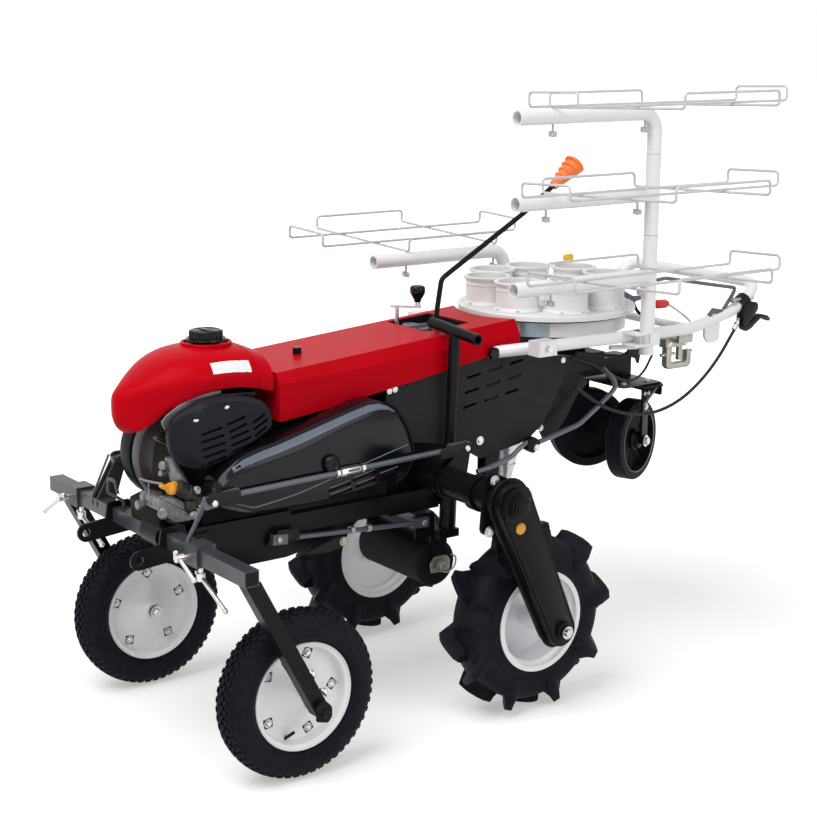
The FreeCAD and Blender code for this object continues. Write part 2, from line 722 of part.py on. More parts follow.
wall = float(S["coverWall"])
y0, y1 = float(S["coverFrontY"]), float(S["coverRearY"])
outer = Part.makeLoft([coverSection(y0, 0), coverSection(y1, 0)], True, True)
hollow = Part.makeLoft([coverSection(y0 + wall, wall), coverSection(y1 + 60, wall)], True, True)
under = slab([(y0 - 50, 600), (y1 + 90, 600), (y1 + 90, 806), (y1, 793), (690, 776), (516, 749), (214, 706),
              (100, 693), (y0 - 50, 693)], "YZ", -200, 200)
round_ = stick((0, S["turntableY"], 600), (0, S["turntableY"], 900), S["turntableRadius"] + S["turntableGap"])
opening = block(-96, 62, 520, 640, 780, 900)
cover = outer.cut(hollow).cut(under).cut(round_).cut(opening)
for side in (1, -1):
    notch = vec(side * 100.0, 650, 772), vec(side * float(S["handleX"]), 745, 800)
    cover = cover.cut(Part.makeCylinder(float(S["handleTubeRadius"]) + 3, 90, notch[0], notch[1] - notch[0]))
    low_, high_ = sorted((side * 120.0, side * 130.0))
    cover = cover.cut(block(low_, high_, 655, 700, 700, 775))
piece(feature("Bonnet", cover), "bonnet")

inside = Part.makeLoft([coverSection(y0 + wall, wall + 0.3), coverSection(y1 + 60, wall + 0.3)], True, True)
tray = block(-99, 65, 517, 643, 812, 900).cut(block(-96, 62, 520, 640, 815, 900)).common(inside)
panel = join(tray, block(-50, -10, 540, 620, 814, 822))
piece(feature("ControlPanel", panel), "control_panel")
crank = join(stick((-104 + 26, 536, 815.3), (-104 + 26, 536, 868), 5),
             bar((-78 - 10, 526, 866), (-78 + 40, 576, 866), 14, 4),
             stick((-78 + 34, 570, 868), (-78 + 34, 570, 890), 7),
             Part.makeSphere(15, vec(-78 + 34, 570, 900)))
piece(feature("CrankHandle", crank), "crank_handle")

# ---------------------------------------------------------------- belt cover and side plates


def shrunk(points, amount):
    """The same corners moved inward by an amount."""
    count, made = len(points), []
    for i, p in enumerate(points):
        a, b, c = points[i - 1], p, points[(i + 1) % count]
        d1 = FreeCAD.Vector(b[0] - a[0], b[1] - a[1], 0).normalize()
        d2 = FreeCAD.Vector(c[0] - b[0], c[1] - b[1], 0).normalize()
        n1, n2 = FreeCAD.Vector(-d1.y, d1.x, 0), FreeCAD.Vector(-d2.y, d2.x, 0)
        mean = (n1 + n2).normalize()
        step = amount / max(0.2, mean.dot(n1))
        radius = max(1.0, p[2] - amount) if len(p) > 2 else 0
        made.append((b[0] + mean.x * step, b[1] + mean.y * step, radius))
    return made


beltOutline = [(-104, 565, 40), (-60, 524, 40), (352, 530, 60), (398, 600, 70), (385, 716, 60),
               (300, 730, 40), (150, 712, 60), (0, 674, 60), (-96, 622, 40)]
outerX = 190.0
low = flat(beltOutline, "YZ", outerX - 14).OuterWire
high = flat(shrunk(beltOutline, 14), "YZ", outerX).OuterWire
belt = join(slab(beltOutline, "YZ", 125.5, outerX - 14), Part.makeLoft([low, high], True, True))
belt = join(belt, stick((outerX - 1, 176, 605), (outerX + 6, 176, 605), 16))
for ya, za, yb, zb in ((169, 547, 220, 555), (171, 531, 223, 539), (230, 560, 285, 572), (237, 532, 285, 541),
                       (290, 575, 344, 579), (297, 545, 346, 556)):
    run = oval((ya, za), 3, (yb, zb), 3)
    run.translate(vec(outerX - 3, 0, 0))
    belt = belt.cut(run.extrude(vec(8, 0, 0)))
belt = belt.cut(room)
piece(feature("BeltCover", belt), "belt_cover")

for name, side in sides:
    plate = body("SidePlate" + name)
    x0, x1 = sorted((side * 115.3, side * 118.3))
    pad(plate, "Sheet", "YZ", [(366, 732, 4), (556, 764), (683, 780, 10), (899, 742, 6), (904, 728, 6),
                               (817, 588, 12), (769, 555, 20), (632, 532, 20), (556, 576, 20),
                               (430, 600, 20), (366, 640, 20)], x0, x1)
    for row in range(3):
        for column in range(3):
            y, z = 590 + column * 62 - row * 6, 722 - row * 34 + column * 9
            pocket(plate, "Slot%d%d" % (row, column), "YZ",
                   [(y, z), (y + 40, z + 6), (y + 40, z + 12), (y, z + 6)], x0 - 1, x1 + 1)
    for spot, (y, z) in enumerate(((430, 734), (600, 765))):
        boss0, boss1 = sorted((side * 117.0, side * 122.2))
        circle = [(y - 7, z - 7, 6), (y + 7, z - 7, 6), (y + 7, z + 7, 6), (y - 7, z + 7, 6)]
        pad(plate, "Boss%d" % spot, "YZ", circle, boss0, boss1)
    piece(plate, "side_plate_" + name)

# ---------------------------------------------------------------- linkage rods

rods = []
for side in (1, -1):
    x = side * 200.0
    rods.append(stick((x, -60, 579), (x, 478, 592), 6))
    rods.append(bar((x, -136, 570), (x, -58, 579), 14, 24))
    rods.append(bar((x, 476, 592), (x, 530, 593), 14, 24))
    rods.append(stick((x, 205, 585), (x, 235, 586), 9))
rods = [join(*rods[0:4]), join(*rods[4:8])]
rods = [rod_.cut(stick((-240, -122, 572), (240, -122, 572), 6.3)) for rod_ in rods]
rods = [rod_.cut(stick((-240, 516, 593), (240, 516, 593), 6.3)) for rod_ in rods]
piece(feature("UpperRods", Part.makeCompound(rods)), "upper_link_rods")
lower = []
for side in (1, -1):
    x = side * 128.0
    link = join(stick((x, 90, 440), (x, 440, 414), 5.5), bar((x, 64, 442), (x, 100, 439), 14, 22),
                bar((x, 430, 415), (x, 474, 412), 14, 22))
    link = link.cut(stick((-140, 78, 441), (140, 78, 441), 6.3))
    link = link.cut(stick((-140, 460, 413), (140, 460, 413), 6.3))
    lower.append(link)
piece(feature("LowerRods", Part.makeCompound(lower)), "lower_link_rods")

# ---------------------------------------------------------------- gauge roller and its post

rollerY, rollerZ, rollerR, rollerH = S["rollerY"], S["rollerZ"], S["rollerRadius"], S["rollerHalf"]
roller = body("GaugeRoller")
revolve(roller, "Drum", [(-rollerH, 10.3), (rollerH, 10.3), (rollerH, rollerR, 6), (-rollerH, rollerR, 6)])
piece(roller, "gauge_roller", 0, rollerY, rollerZ)
yoke = []
for side in (1, -1):
    x0, x1 = sorted((float(side * (rollerH + 6)), float(side * (rollerH + 12))))
    ry, rz = float(rollerY), float(rollerZ)
    yoke.append(slab([(ry - 18, rz - 18, 8), (ry + 18, rz - 18, 8), (ry + 24, 390, 4), (ry - 24, 390, 4)],
                     "YZ", x0, x1))
yoke.append(block(-rollerH - 12, rollerH + 12, rollerY - 18, rollerY + 18, 372, 390))
yoke.append(block(118, 152, rollerY - 18, 546, 372, 390))
yoke.append(stick((-rollerH - 12, rollerY, rollerZ), (rollerH + 24, rollerY, rollerZ), 10))
for side in (1, -1):
    lug0, lug1 = sorted((side * 112.0, side * 120.0))
    yoke.append(block(lug0, lug1, 448, 500, 372, 426))
    yoke.append(stick((side * 116, 460, 413), (side * 137, 460, 413), 6))
yoke = join(*yoke).cut(block(-109.5, 109.5, 400, 489, 360, 430))
piece(feature("RollerYoke", yoke), "roller_yoke")

postLow = (133.0, 526.5, 391.1)
post = join(stick(postLow, (135.8, 526.8, 462), 19), stick(postLow, (150.6, 528, 842), 13))
pipeEnds = (66, 528, 851), (232, 528, 836)
pipe = stick(*pipeEnds, 12.5)
post = join(post, pipe).cut(stick((66, 528, 851), (232, 528, 836), 9))
piece(feature("HeightPost", post), "height_post")

# ---------------------------------------------------------------- shift lever

lever = tube([(0, 585, 816.4), (0, 605, 934), (0, 849, 1071), (0, 935, 1128)], 6, 22)
piece(feature("ShiftLever", lever), "shift_lever")
grip = Part.makeCone(11, 24, 84, vec(0, 935, 1128), (vec(0, 1020, 1186) - vec(0, 935, 1128)))
piece(feature("LeverGrip", grip.cut(lever)), "lever_grip")

# ---------------------------------------------------------------- turntable

tableY, tableZ, tableR = S["turntableY"], S["turntableZ"], S["turntableRadius"]


def upright(points, name):
    """Turns an outline given as (radius, z) about the turntable's upright axis."""
    face = flat(points, "XZ")
    return face.revolve(vec(0, 0, 0), vec(0, 0, 1), 360)


baseZ = float(tableZ) - 40
ring = upright([(12, 0), (190, 0), (190, 34), (186, 34), (186, 4), (24, 4), (24, 39.7), (17.7, 39.7),
                (17.7, 52), (12, 52)], "Base")
piece(feature("CarouselBase", ring), "carousel_base", 0, tableY, baseZ)

plateR = float(tableR)
disc = upright([(18, 0), (plateR - 6, 0), (plateR, -1), (plateR, 13, 4), (18, 13)], "Disc")
cupR, cupH, ringR = float(S["cupRadius"]), float(S["cupHeight"]), float(S["cupRing"])
table = disc
for i in range(int(S["cupCount"].value)):
    angle = 2 * math.pi * (i + 0.5) / S["cupCount"].value
    spot = vec(ringR * math.cos(angle), ringR * math.sin(angle), 0)
    cup = Part.makeCylinder(cupR, cupH + 13, spot)
    lip = Part.makeCylinder(cupR + 5, 5, spot + vec(0, 0, cupH + 8))
    hole = Part.makeCylinder(cupR - 4, cupH + 40, spot + vec(0, 0, -10))
    table = table.fuse(cup).fuse(lip).cut(hole)
piece(feature("Carousel", table), "carousel", 0, tableY, tableZ)

# ---------------------------------------------------------------- handlebar and tray posts

hx, hz, hr = float(S["handleX"]), float(S["handleZ"]), S["handleTubeRadius"]
half = [(-100, 650, hz - 25), (-hx, 745, hz + 3), (-hx, 1180, hz - 3), (-hx, 1330, hz + 29),
        (-hx, float(S["handleRearY"]), float(S["handleTopZ"]))]
loop = half + [(-p[0], p[1], p[2]) for p in reversed(half)]
loop = [p + (r,) for p, r in zip(loop, (0, 60, 250, 150, 45, 45, 150, 250, 60, 0))]
handle = tube(loop, hr, 50, hr - 3).cut(block(-118.6, 118.6, 600, 760, 700, 850))
for side in (1, -1):
    x0, x1 = sorted((side * 208.0, side * 246.0))
    handle = handle.fuse(block(x0, x1, 692, 744, 781, 815))
    x0, x1 = sorted((side * 224.0, side * 232.0))
    handle = handle.fuse(slab([(1226, 800), (1226, 770, 8), (1240, 752, 12), (1276, 756, 12), (1276, 806)],
                              "YZ", x0, x1))
inside_ = tube(loop, hr - 3, 50)
piece(feature("Handlebar", handle.cut(inside_)), "handlebar")

postX, postY, postR = S["postX"], S["postY"], S["postTubeRadius"]
bore = float(postR - S["postWall"])
pole = bore - float(S["poleClearance"])
footZ, sleeveZ = 758.0, 812.0
posts = []
for side, topZ in ((1, 1250.0), (-1, 880.0)):
    x = side * float(postX)
    made = join(
        stick((x, postY, footZ), (x, postY, sleeveZ), postR),
        stick((x, postY, sleeveZ), (x, postY, topZ), pole),
        block(min(x, side * float(hx)), max(x, side * float(hx)), postY - 22, postY + 22, 776, 812),
    )
    posts.append(made)
hull = tube(loop, hr + gap, 50)
posts = [post_.cut(hull) for post_ in posts]
piece(feature("TrayPosts", Part.makeCompound(posts)), "tray_posts")


def rackLoop(reach, spread, fence, level, along):
    """A closed rod loop: two long runs whose ends turn up into a fence at each end."""
    halves = []
    for way in (-1, 1):
        half = []
        for u, v, w in ((0, -spread, 0), (reach, -spread, 0), (reach, -spread, fence),
                        (reach, spread, fence), (reach, spread, 0), (0, spread, 0)):
            half.append((v, way * u, w + level) if along == "y" else (way * u, v, w + level))
        halves.append(tube(half, S["rackRod"], S["rackBend"]))
    return halves[0].fuse(halves[1])


rackR, tubeR = float(S["rackRod"]), float(postR)
levels = [
    ("low_left", 1, sleeveZ + 1, S["armLowZ"], 1034.0, 842),
    ("mid_left", 1, 1035.0, S["armMidZ"], 1218.0, 822),
    ("top_left", 1, 1219.0, S["armTopZ"], None, 836),
    ("low_right", -1, sleeveZ + 1, S["armLowZ"], None, 834),
]
for label, side, startZ, armZ, endZ, rackY in levels:
    x, armZ = side * float(postX), float(armZ)
    if endZ is None:
        arm = tube([(x, postY, startZ), (x, postY, armZ), (x, S["armFrontY"], armZ)], postR, 42, bore)
    else:
        arm = join(stick((x, postY, startZ), (x, postY, endZ), postR),
                   stick((x, postY, armZ), (x, S["armFrontY"], armZ), postR))
        arm = arm.cut(stick((x, postY, startZ - 1), (x, postY, endZ + 1), bore))
        arm = arm.cut(stick((x, postY - postR - 3, armZ), (x, S["armFrontY"] - 1, armZ), bore))

    # the rack is clamped on top of the tube by two studs and reaches outward from it
    seat = tubeR + rackR
    reach, spread = float(S["rackReach"]), float(S["rackSpread"])
    width, step = float(S["rackHalfWidth"]), float(S["rackStep"])
    fence = float(S["rackFence"])
    loops = [
        rackLoop(reach, spread, fence, seat + 2 * rackR - 0.6, "y"),
        rackLoop(width, step, fence, seat, "x"),
    ]
    rack = loops[0].fuse(loops[1])
    rack.translate(vec(side * (width - 10), 0, 0))
    holes = []
    for way in (-1, 1):
        stud = stick((0, way * step, -44), (0, way * step, seat), 3)
        nut = stick((0, way * step, -42), (0, way * step, -34), 7)
        wings = block(-13, 13, way * step - 1.5, way * step + 1.5, -43, -31)
        rack = rack.fuse(join(stud, nut, wings))
        holes.append(stick((0, way * step, -25), (0, way * step, 25), 3.4))
    tilt = -side * float(S["rackTilt"])
    for thing in [rack] + holes:
        thing.rotate(vec(0, 0, 0), vec(0, 1, 0), tilt)
        thing.translate(vec(x, rackY, armZ))
    for hole in holes:
        arm = arm.cut(hole)
    piece(feature("Arm" + label, arm), "tray_arm_" + label)
    piece(feature("Rack" + label, rack.removeSplitter()), "tray_rack_" + label)

# ---------------------------------------------------------------- clutch lever

clutch = join(
    block(hx - 22, hx + 26, 1356, 1392, 818, 862),
    tube([(hx + 20, 1374, 852), (hx + 20, 1400, 874), (hx + 20, 1424, 850), (hx + 20, 1436, 790)], 5, 12),
    stick((hx + 8, 1350, 812), (hx + 8, 1362, 826), 6),
)
clutch = clutch.cut(hull)
piece(feature("ClutchLever", clutch), "clutch_lever")

# ---------------------------------------------------------------- planter and press wheels

planter = join(block(-70, 70, 730, 900, 600, 700), block(-84.7, 84.7, 740, 975, 700, 799.7))
piece(feature("PlanterCase", planter), "planter_case")
beak = Part.makeCone(12, 58, 190.7, vec(0, 800, 409), vec(0, 0, 1))
piece(feature("PlantingBeak", beak), "planting_beak")

toe = float(S["pressToe"])
pressR, pressW = S["pressRadius"], S["pressWidth"]
for name, side in sides:
    wheel = body("PressWheel" + name)
    w = pressW / 2
    revolve(wheel, "Tyre", [(-w, pressR - 22), (-w, pressR, 6), (w, pressR, 6), (w, pressR - 22),
                            (6, pressR - 22), (6, 24), (12, 24), (12, 10.3), (-12, 10.3), (-12, 24), (-6, 24),
                            (-6, pressR - 22)])
    wheel.Placement = FreeCAD.Placement(vec(0, 0, 0), FreeCAD.Rotation(vec(0, 0, 1), side * toe))
    piece(wheel, "press_wheel_" + name, side * S["pressX"], S["pressY"], S["pressZ"])

frame = []
for side in (1, -1):
    c = vec(side * float(S["pressX"]), float(S["pressY"]), float(S["pressZ"]))
    out = FreeCAD.Rotation(vec(0, 0, 1), side * toe).multVec(vec(side, 0, 0))
    hub = c - out * 18
    tip = c + out * 34
    frame.append(stick(hub, tip + out * 6, 10))
    frame.append(stick(hub, hub + out * 4, 14))
    frame.append(bar(tip, (tip.x, tip.y, 640), 30, 6, (out.x, out.y, 0)))
frame.append(block(-135, 135, 1130, 1190, 636, 642))
frame.append(block(-30, 30, 1150, 1180, 642, 660))
frame.append(block(-30, 30, 982, 1180, 660, 699.7))
piece(feature("PressFrame", join(*frame)), "press_frame")

# ---------------------------------------------------------------- hanging clutch cable

cablePoints = [(236, 1349.5, 811.5), (236, 1316, 770), (230, 1280, 714), (219, 1238, 662), (207, 1184, 618),
               (192, 1124, 592), (178, 1062, 588), (165, 1000, 603), (151, 946, 632), (138, 900, 670)]


def cable(points, radius):
    """A free cable: runs joined by arcs as large as the runs allow."""
    spots = [vec(*p) for p in points]
    route = [tuple(spots[0])]
    for i in range(1, len(spots) - 1):
        before, after = spots[i] - spots[i - 1], spots[i + 1] - spots[i]
        turn = before.getAngle(after)
        bend = 0.45 * min(before.Length, after.Length) / math.tan(turn / 2)
        print("cable bend radius", round(bend))
        route.append(tuple(spots[i]) + (bend,))
    route.append(tuple(spots[-1]))
    return tube(route, radius, 0)


clutchCable = cable(cablePoints, 4)
piece(feature("ClutchCable", clutchCable), "clutch_cable")

# ---------------------------------------------------------------- build, check and write

doc.recompute()
for thing in doc.Objects:
    if any(flag in ("Invalid", "Error") for flag in thing.State):
        raise RuntimeError("failed: " + thing.Name + " " + str(thing.State))
os.makedirs("parts", exist_ok=True)
for made in pieces:
    if made.Shape.isNull() or not made.Shape.isValid():
        raise RuntimeError("bad shape: " + made.Label)
total = FreeCAD.BoundBox()
for made in pieces:
    total.add(made.Shape.BoundBox)
    made.Shape.exportStep("parts/" + made.Label + ".step")
    print("%-22s solids %d volume %9.0f" % (made.Label, len(made.Shape.Solids), made.Shape.Volume))
print("pieces", len(pieces), "box", [round(v, 1) for v in (total.XMin, total.XMax, total.YMin,
                                                        total.YMax, total.ZMin, total.ZMax)])
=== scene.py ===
import bpy
import bmesh
import json
import math
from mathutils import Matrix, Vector

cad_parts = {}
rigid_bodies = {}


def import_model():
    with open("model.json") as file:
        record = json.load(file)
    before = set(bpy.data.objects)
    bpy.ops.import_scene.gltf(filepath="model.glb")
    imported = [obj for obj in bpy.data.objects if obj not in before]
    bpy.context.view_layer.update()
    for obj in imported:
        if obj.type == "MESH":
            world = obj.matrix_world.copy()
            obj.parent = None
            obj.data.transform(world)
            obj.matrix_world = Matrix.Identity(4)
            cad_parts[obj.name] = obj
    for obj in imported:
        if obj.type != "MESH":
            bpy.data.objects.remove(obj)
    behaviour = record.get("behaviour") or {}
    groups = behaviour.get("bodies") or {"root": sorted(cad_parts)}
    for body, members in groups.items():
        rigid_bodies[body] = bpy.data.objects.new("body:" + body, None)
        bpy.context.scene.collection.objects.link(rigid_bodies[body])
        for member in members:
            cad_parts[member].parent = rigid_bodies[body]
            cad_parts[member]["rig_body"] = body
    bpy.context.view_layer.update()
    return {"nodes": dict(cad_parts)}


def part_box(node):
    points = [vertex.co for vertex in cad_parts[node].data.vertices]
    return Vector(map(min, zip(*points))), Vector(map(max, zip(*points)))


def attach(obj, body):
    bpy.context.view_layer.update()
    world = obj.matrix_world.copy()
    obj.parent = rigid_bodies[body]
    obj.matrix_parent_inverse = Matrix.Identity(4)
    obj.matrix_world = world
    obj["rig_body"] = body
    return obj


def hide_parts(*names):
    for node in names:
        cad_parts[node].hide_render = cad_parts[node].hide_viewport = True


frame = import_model()
print("frame loaded:", len(frame["nodes"]), "nodes")

bpy.context.scene.view_settings.view_transform = "Standard"
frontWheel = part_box("front_tyre_left")
axleBack = (frontWheel[0].y + frontWheel[1].y) / 2     # lengths along the machine count from the front axle


def at(x, y, z):
    return Vector((x * 0.001, y * 0.001 + axleBack, z * 0.001))


# camera

cameraSet = dict(lens=76.819, place=(3.12445, -2.38309, 1.53215), turn=(77.1018, -0.3865, 53.6340))

cameraData = bpy.data.cameras.new("threeQuarterCamera")
cameraData.lens = cameraSet["lens"]
cameraData.sensor_width = 36
cameraData.clip_end = 50
camera = bpy.data.objects.new("threeQuarterCamera", cameraData)
camera.location = cameraSet["place"]
camera.rotation_euler = [math.radians(a) for a in cameraSet["turn"]]
bpy.context.scene.collection.objects.link(camera)
bpy.context.scene.camera = camera

# finishes


def finish(name, colour, rough=0.4, metal=0.0, coat=0.0, specular=0.5, ior=1.5, second=None, patch=30.0, spread=0.35,
           grain=900.0, bump=0.05, depth=0.0004, roughSpread=0.08):
    made = bpy.data.materials.new(name)
    made.use_nodes = True
    tree = made.node_tree
    nodes, link = tree.nodes, tree.links.new
    shader = nodes["Principled BSDF"]
    for socket, value in (("Metallic", metal), ("Specular IOR Level", specular), ("IOR", ior), ("Coat Weight", coat),
                          ("Coat Roughness", 0.06)):
        shader.inputs[socket].default_value = value
    onPiece = nodes.new("ShaderNodeTexCoord")
    cloudy = nodes.new("ShaderNodeTexNoise")
    cloudy.inputs["Scale"].default_value = patch
    cloudy.inputs["Detail"].default_value = 6
    cloudy.inputs["Roughness"].default_value = 0.6
    link(onPiece.outputs["Object"], cloudy.inputs["Vector"])
    tint = nodes.new("ShaderNodeValToRGB")
    tint.color_ramp.elements[0].position = 0.5 - spread / 2
    tint.color_ramp.elements[1].position = 0.5 + spread / 2
    tint.color_ramp.elements[0].color = (*colour, 1)
    tint.color_ramp.elements[1].color = (*(second or [c * 1.15 + 0.002 for c in colour]), 1)
    link(cloudy.outputs["Fac"], tint.inputs["Fac"])
    link(tint.outputs["Color"], shader.inputs["Base Color"])
    gloss = nodes.new("ShaderNodeMapRange")
    gloss.inputs["To Min"].default_value = max(0.02, rough - roughSpread)
    gloss.inputs["To Max"].default_value = min(1.0, rough + roughSpread)
    link(cloudy.outputs["Fac"], gloss.inputs["Value"])
    link(gloss.outputs["Result"], shader.inputs["Roughness"])
    fine = nodes.new("ShaderNodeTexNoise")
    fine.inputs["Scale"].default_value = grain
    fine.inputs["Detail"].default_value = 3
    link(onPiece.outputs["Object"], fine.inputs["Vector"])
    relief = nodes.new("ShaderNodeBump")
    relief.inputs["Strength"].default_value = bump
    relief.inputs["Distance"].default_value = depth
    link(fine.outputs["Fac"], relief.inputs["Height"])
    link(relief.outputs["Normal"], shader.inputs["Normal"])
    return made


crimsonPaint = finish("crimsonPaint", (0.47, 0.0015, 0.007), rough=0.3, specular=0.3, ior=1.13,
                      second=(0.53, 0.002, 0.010), patch=6, grain=380, bump=0.02)
frameBlack = finish("frameBlack", (0.0045, 0.0045, 0.006), rough=0.3, specular=0.3, ior=1.28, patch=14, grain=420,
                    bump=0.12)
coverBlack = finish("coverBlack", (0.003, 0.003, 0.005), rough=0.16, coat=0.05, specular=0.45, ior=1.3, patch=8,
                    grain=260, bump=0.05)
plateBlack = finish("plateBlack", (0.024, 0.022, 0.023), rough=0.5, specular=0.25, ior=1.25, patch=25, grain=1200,
                    bump=0.2)
shroudPlastic = finish("shroudPlastic", (0.008, 0.009, 0.013), rough=0.42, specular=0.3, ior=1.28, patch=20,
                       grain=1500, bump=0.35)
engineDark = finish("engineDark", (0.004, 0.004, 0.0045), rough=0.5, specular=0.2, ior=1.25, patch=40, grain=700,
                    bump=0.3)
castAlloy = finish("castAlloy", (0.15, 0.15, 0.155), rough=0.5, metal=0.75, second=(0.27, 0.27, 0.28), patch=90,
                   grain=1300, bump=0.5, depth=0.0006)
zincSteel = finish("zincSteel", (0.52, 0.51, 0.49), rough=0.3, metal=1.0, second=(0.66, 0.65, 0.62), patch=120,
                   grain=600, bump=0.08)
dullZinc = finish("dullZinc", (0.33, 0.32, 0.27), rough=0.42, metal=0.85, second=(0.43, 0.42, 0.36), patch=70,
                  grain=600, bump=0.1)
whiteEnamel = finish("whiteEnamel", (0.83, 0.83, 0.84), rough=0.32, coat=0.3, second=(0.87, 0.87, 0.88), patch=12,
                     grain=300, bump=0.05)
wheelWhite = finish("wheelWhite", (0.84, 0.845, 0.86), rough=0.38, coat=0.25, second=(0.89, 0.895, 0.91), patch=18,
                    grain=350, bump=0.08)
cupWhite = finish("cupWhite", (0.80, 0.795, 0.79), rough=0.42, second=(0.84, 0.835, 0.83), patch=10, grain=500,
                  bump=0.06)
tyreRubber = finish("tyreRubber", (0.003, 0.0035, 0.006), rough=0.55, specular=0.25, ior=1.28,
                    second=(0.008, 0.010, 0.015), patch=45, grain=900, bump=0.5, depth=0.0008)
rollerFoam = finish("rollerFoam", (0.006, 0.006, 0.006), rough=0.7, specular=0.15, patch=60, grain=1600, bump=0.7,
                    depth=0.0008)
gripOrange = finish("gripOrange", (0.90, 0.20, 0.030), rough=0.42, patch=30, grain=900, bump=0.2)
plugYellow = finish("plugYellow", (0.62, 0.30, 0.02), rough=0.35, patch=40, grain=900, bump=0.1)
gateYellow = finish("gateYellow", (0.78, 0.50, 0.01), rough=0.4, patch=40, grain=900, bump=0.1)
redGrip = finish("redGrip", (0.62, 0.01, 0.01), rough=0.38, patch=30, grain=900, bump=0.2)
knobBlack = finish("knobBlack", (0.003, 0.003, 0.004), rough=0.22, coat=0.05, specular=0.4, ior=1.3, patch=30,
                   grain=500, bump=0.05)
cableSheath = finish("cableSheath", (0.008, 0.008, 0.009), rough=0.5, specular=0.3, patch=50, grain=1200, bump=0.2)
labelPlate = finish("labelPlate", (0.33, 0.40, 0.45), rough=0.35, metal=0.3, patch=30, grain=800, bump=0.1)
# blue-grey steel for rods, stays and small plates; on the thin beads along the belt cover's crease and louvres and
# the side plates' top edges it is a painted highlight
steelBlue = finish("steelBlue", (0.085, 0.10, 0.12), rough=0.3, metal=0.2, patch=20, grain=600, bump=0.1)
# the frame's black made paler for the front beam alone: painted sheen standing in for the highlight on its upper
# faces
beamLitBlack = finish("beamLitBlack", (0.035, 0.037, 0.043), rough=0.34, specular=0.45, patch=14, grain=420, bump=0.1)
wireGrey = finish("wireGrey", (0.56, 0.54, 0.53), rough=0.34, coat=0.2, patch=40, grain=500, bump=0.05)
print("finishes made")

# ways of working


def clearPick():
    if bpy.context.object and bpy.context.object.mode != "OBJECT":
        bpy.ops.object.mode_set(mode="OBJECT")
    bpy.ops.object.select_all(action="DESELECT")


def leaveEdit(name):
    bpy.ops.object.mode_set(mode="OBJECT")
    bpy.context.object.name = name
    return bpy.context.object


def reopen(piece):
    clearPick()
    piece.select_set(True)
    bpy.context.view_layer.objects.active = piece
    bpy.ops.object.mode_set(mode="EDIT")


def pick(test, kind="FACE"):
    shape = bpy.context.edit_object
    bpy.ops.mesh.select_mode(type=kind)
    bpy.ops.mesh.select_all(action="DESELECT")
    net = bmesh.from_edit_mesh(shape.data)
    if kind == "FACE":
        for face in net.faces:
            face.select_set(bool(test(face.calc_center_median(), face.normal)))
    elif kind == "EDGE":
        for edge in net.edges:
            a, b = edge.verts[0].co, edge.verts[1].co
            edge.select_set(bool(test((a + b) / 2, (b - a).normalized())))
    else:
        for corner in net.verts:
            corner.select_set(bool(test(corner.co, corner.normal)))
    net.select_flush_mode()
    bmesh.update_edit_mesh(shape.data)


def startRing(points, fill="NOTHING"):
    clearPick()
    bpy.ops.mesh.primitive_circle_add(vertices=len(points), radius=0.1, fill_type=fill, location=(0, 0, 0),
                                      enter_editmode=True)
    net = bmesh.from_edit_mesh(bpy.context.edit_object.data)
    net.verts.ensure_lookup_table()
    for corner, point in zip(net.verts, points):
        corner.co = point
    bmesh.update_edit_mesh(bpy.context.edit_object.data)


def carryOn(before, after):
    # extrudes the picked face and puts its corners on the next outline
    bpy.ops.mesh.extrude_region_move()
    net = bmesh.from_edit_mesh(bpy.context.edit_object.data)
    for corner in net.verts:
        if corner.select:
            number = min(range(len(before)), key=lambda i: (corner.co - before[i]).length_squared)
            corner.co = after[number]
    bmesh.update_edit_mesh(bpy.context.edit_object.data)


def tidyMesh():
    bpy.ops.mesh.select_all(action="SELECT")
    bpy.ops.mesh.remove_doubles(threshold=0.00002)
    bpy.ops.mesh.dissolve_degenerate(threshold=0.00001)
    bpy.ops.mesh.select_all(action="SELECT")
    bpy.ops.mesh.normals_make_consistent(inside=False)


def lofted(name, rings):
    startRing(rings[0], "NGON")
    for before, after in zip(rings, rings[1:]):
        carryOn(before, after)
    tidyMesh()
    return leaveEdit(name)


def softLoop(points, cuts=3):
    # a closed outline with its corners eased
    made, count = [], len(points)
    for i in range(count):
        a, b, c, d = (Vector(points[(i + k - 1) % count]) for k in range(4))
        for step in range(cuts):
            t = step / cuts
            made.append(0.5 * (2 * b + (c - a) * t + (2 * a - 5 * b + 4 * c - d) * t ** 2
                               + (3 * b - a - 3 * c + d) * t ** 3))
    return made


def applied(piece, kind, **values):
    reopen(piece)
    bpy.ops.object.mode_set(mode="OBJECT")
    change = piece.modifiers.new(kind.title(), kind)
    for key, value in values.items():
        setattr(change, key, value)
    bpy.ops.object.modifier_apply(modifier=change.name)
    return piece


def softened(piece, width, segments=2, angle=40):
    return applied(piece, "BEVEL", width=width * 0.001, segments=segments, limit_method="ANGLE",
                   angle_limit=math.radians(angle), harden_normals=False)


def onPlane(plane, u, v, level):
    return {"YZ": at(level, u, v), "XZ": at(u, level, v), "XY": at(u, v, level)}[plane]


def plate(name, points, plane, start, end, edge=0.0, rounding=0.0, segments=2):
    startRing([onPlane(plane, p[0], p[1], start) for p in points], "NGON")
    if rounding:
        bpy.ops.mesh.select_all(action="SELECT")
        bpy.ops.mesh.bevel(affect="VERTICES", offset=rounding * 0.001, segments=5)
    bpy.ops.mesh.select_all(action="SELECT")
    step = onPlane(plane, 0, 0, end) - onPlane(plane, 0, 0, start)
    bpy.ops.mesh.extrude_region_move(TRANSFORM_OT_translate={"value": step})
    tidyMesh()
    made = leaveEdit(name)
    return softened(made, edge, segments) if edge else made


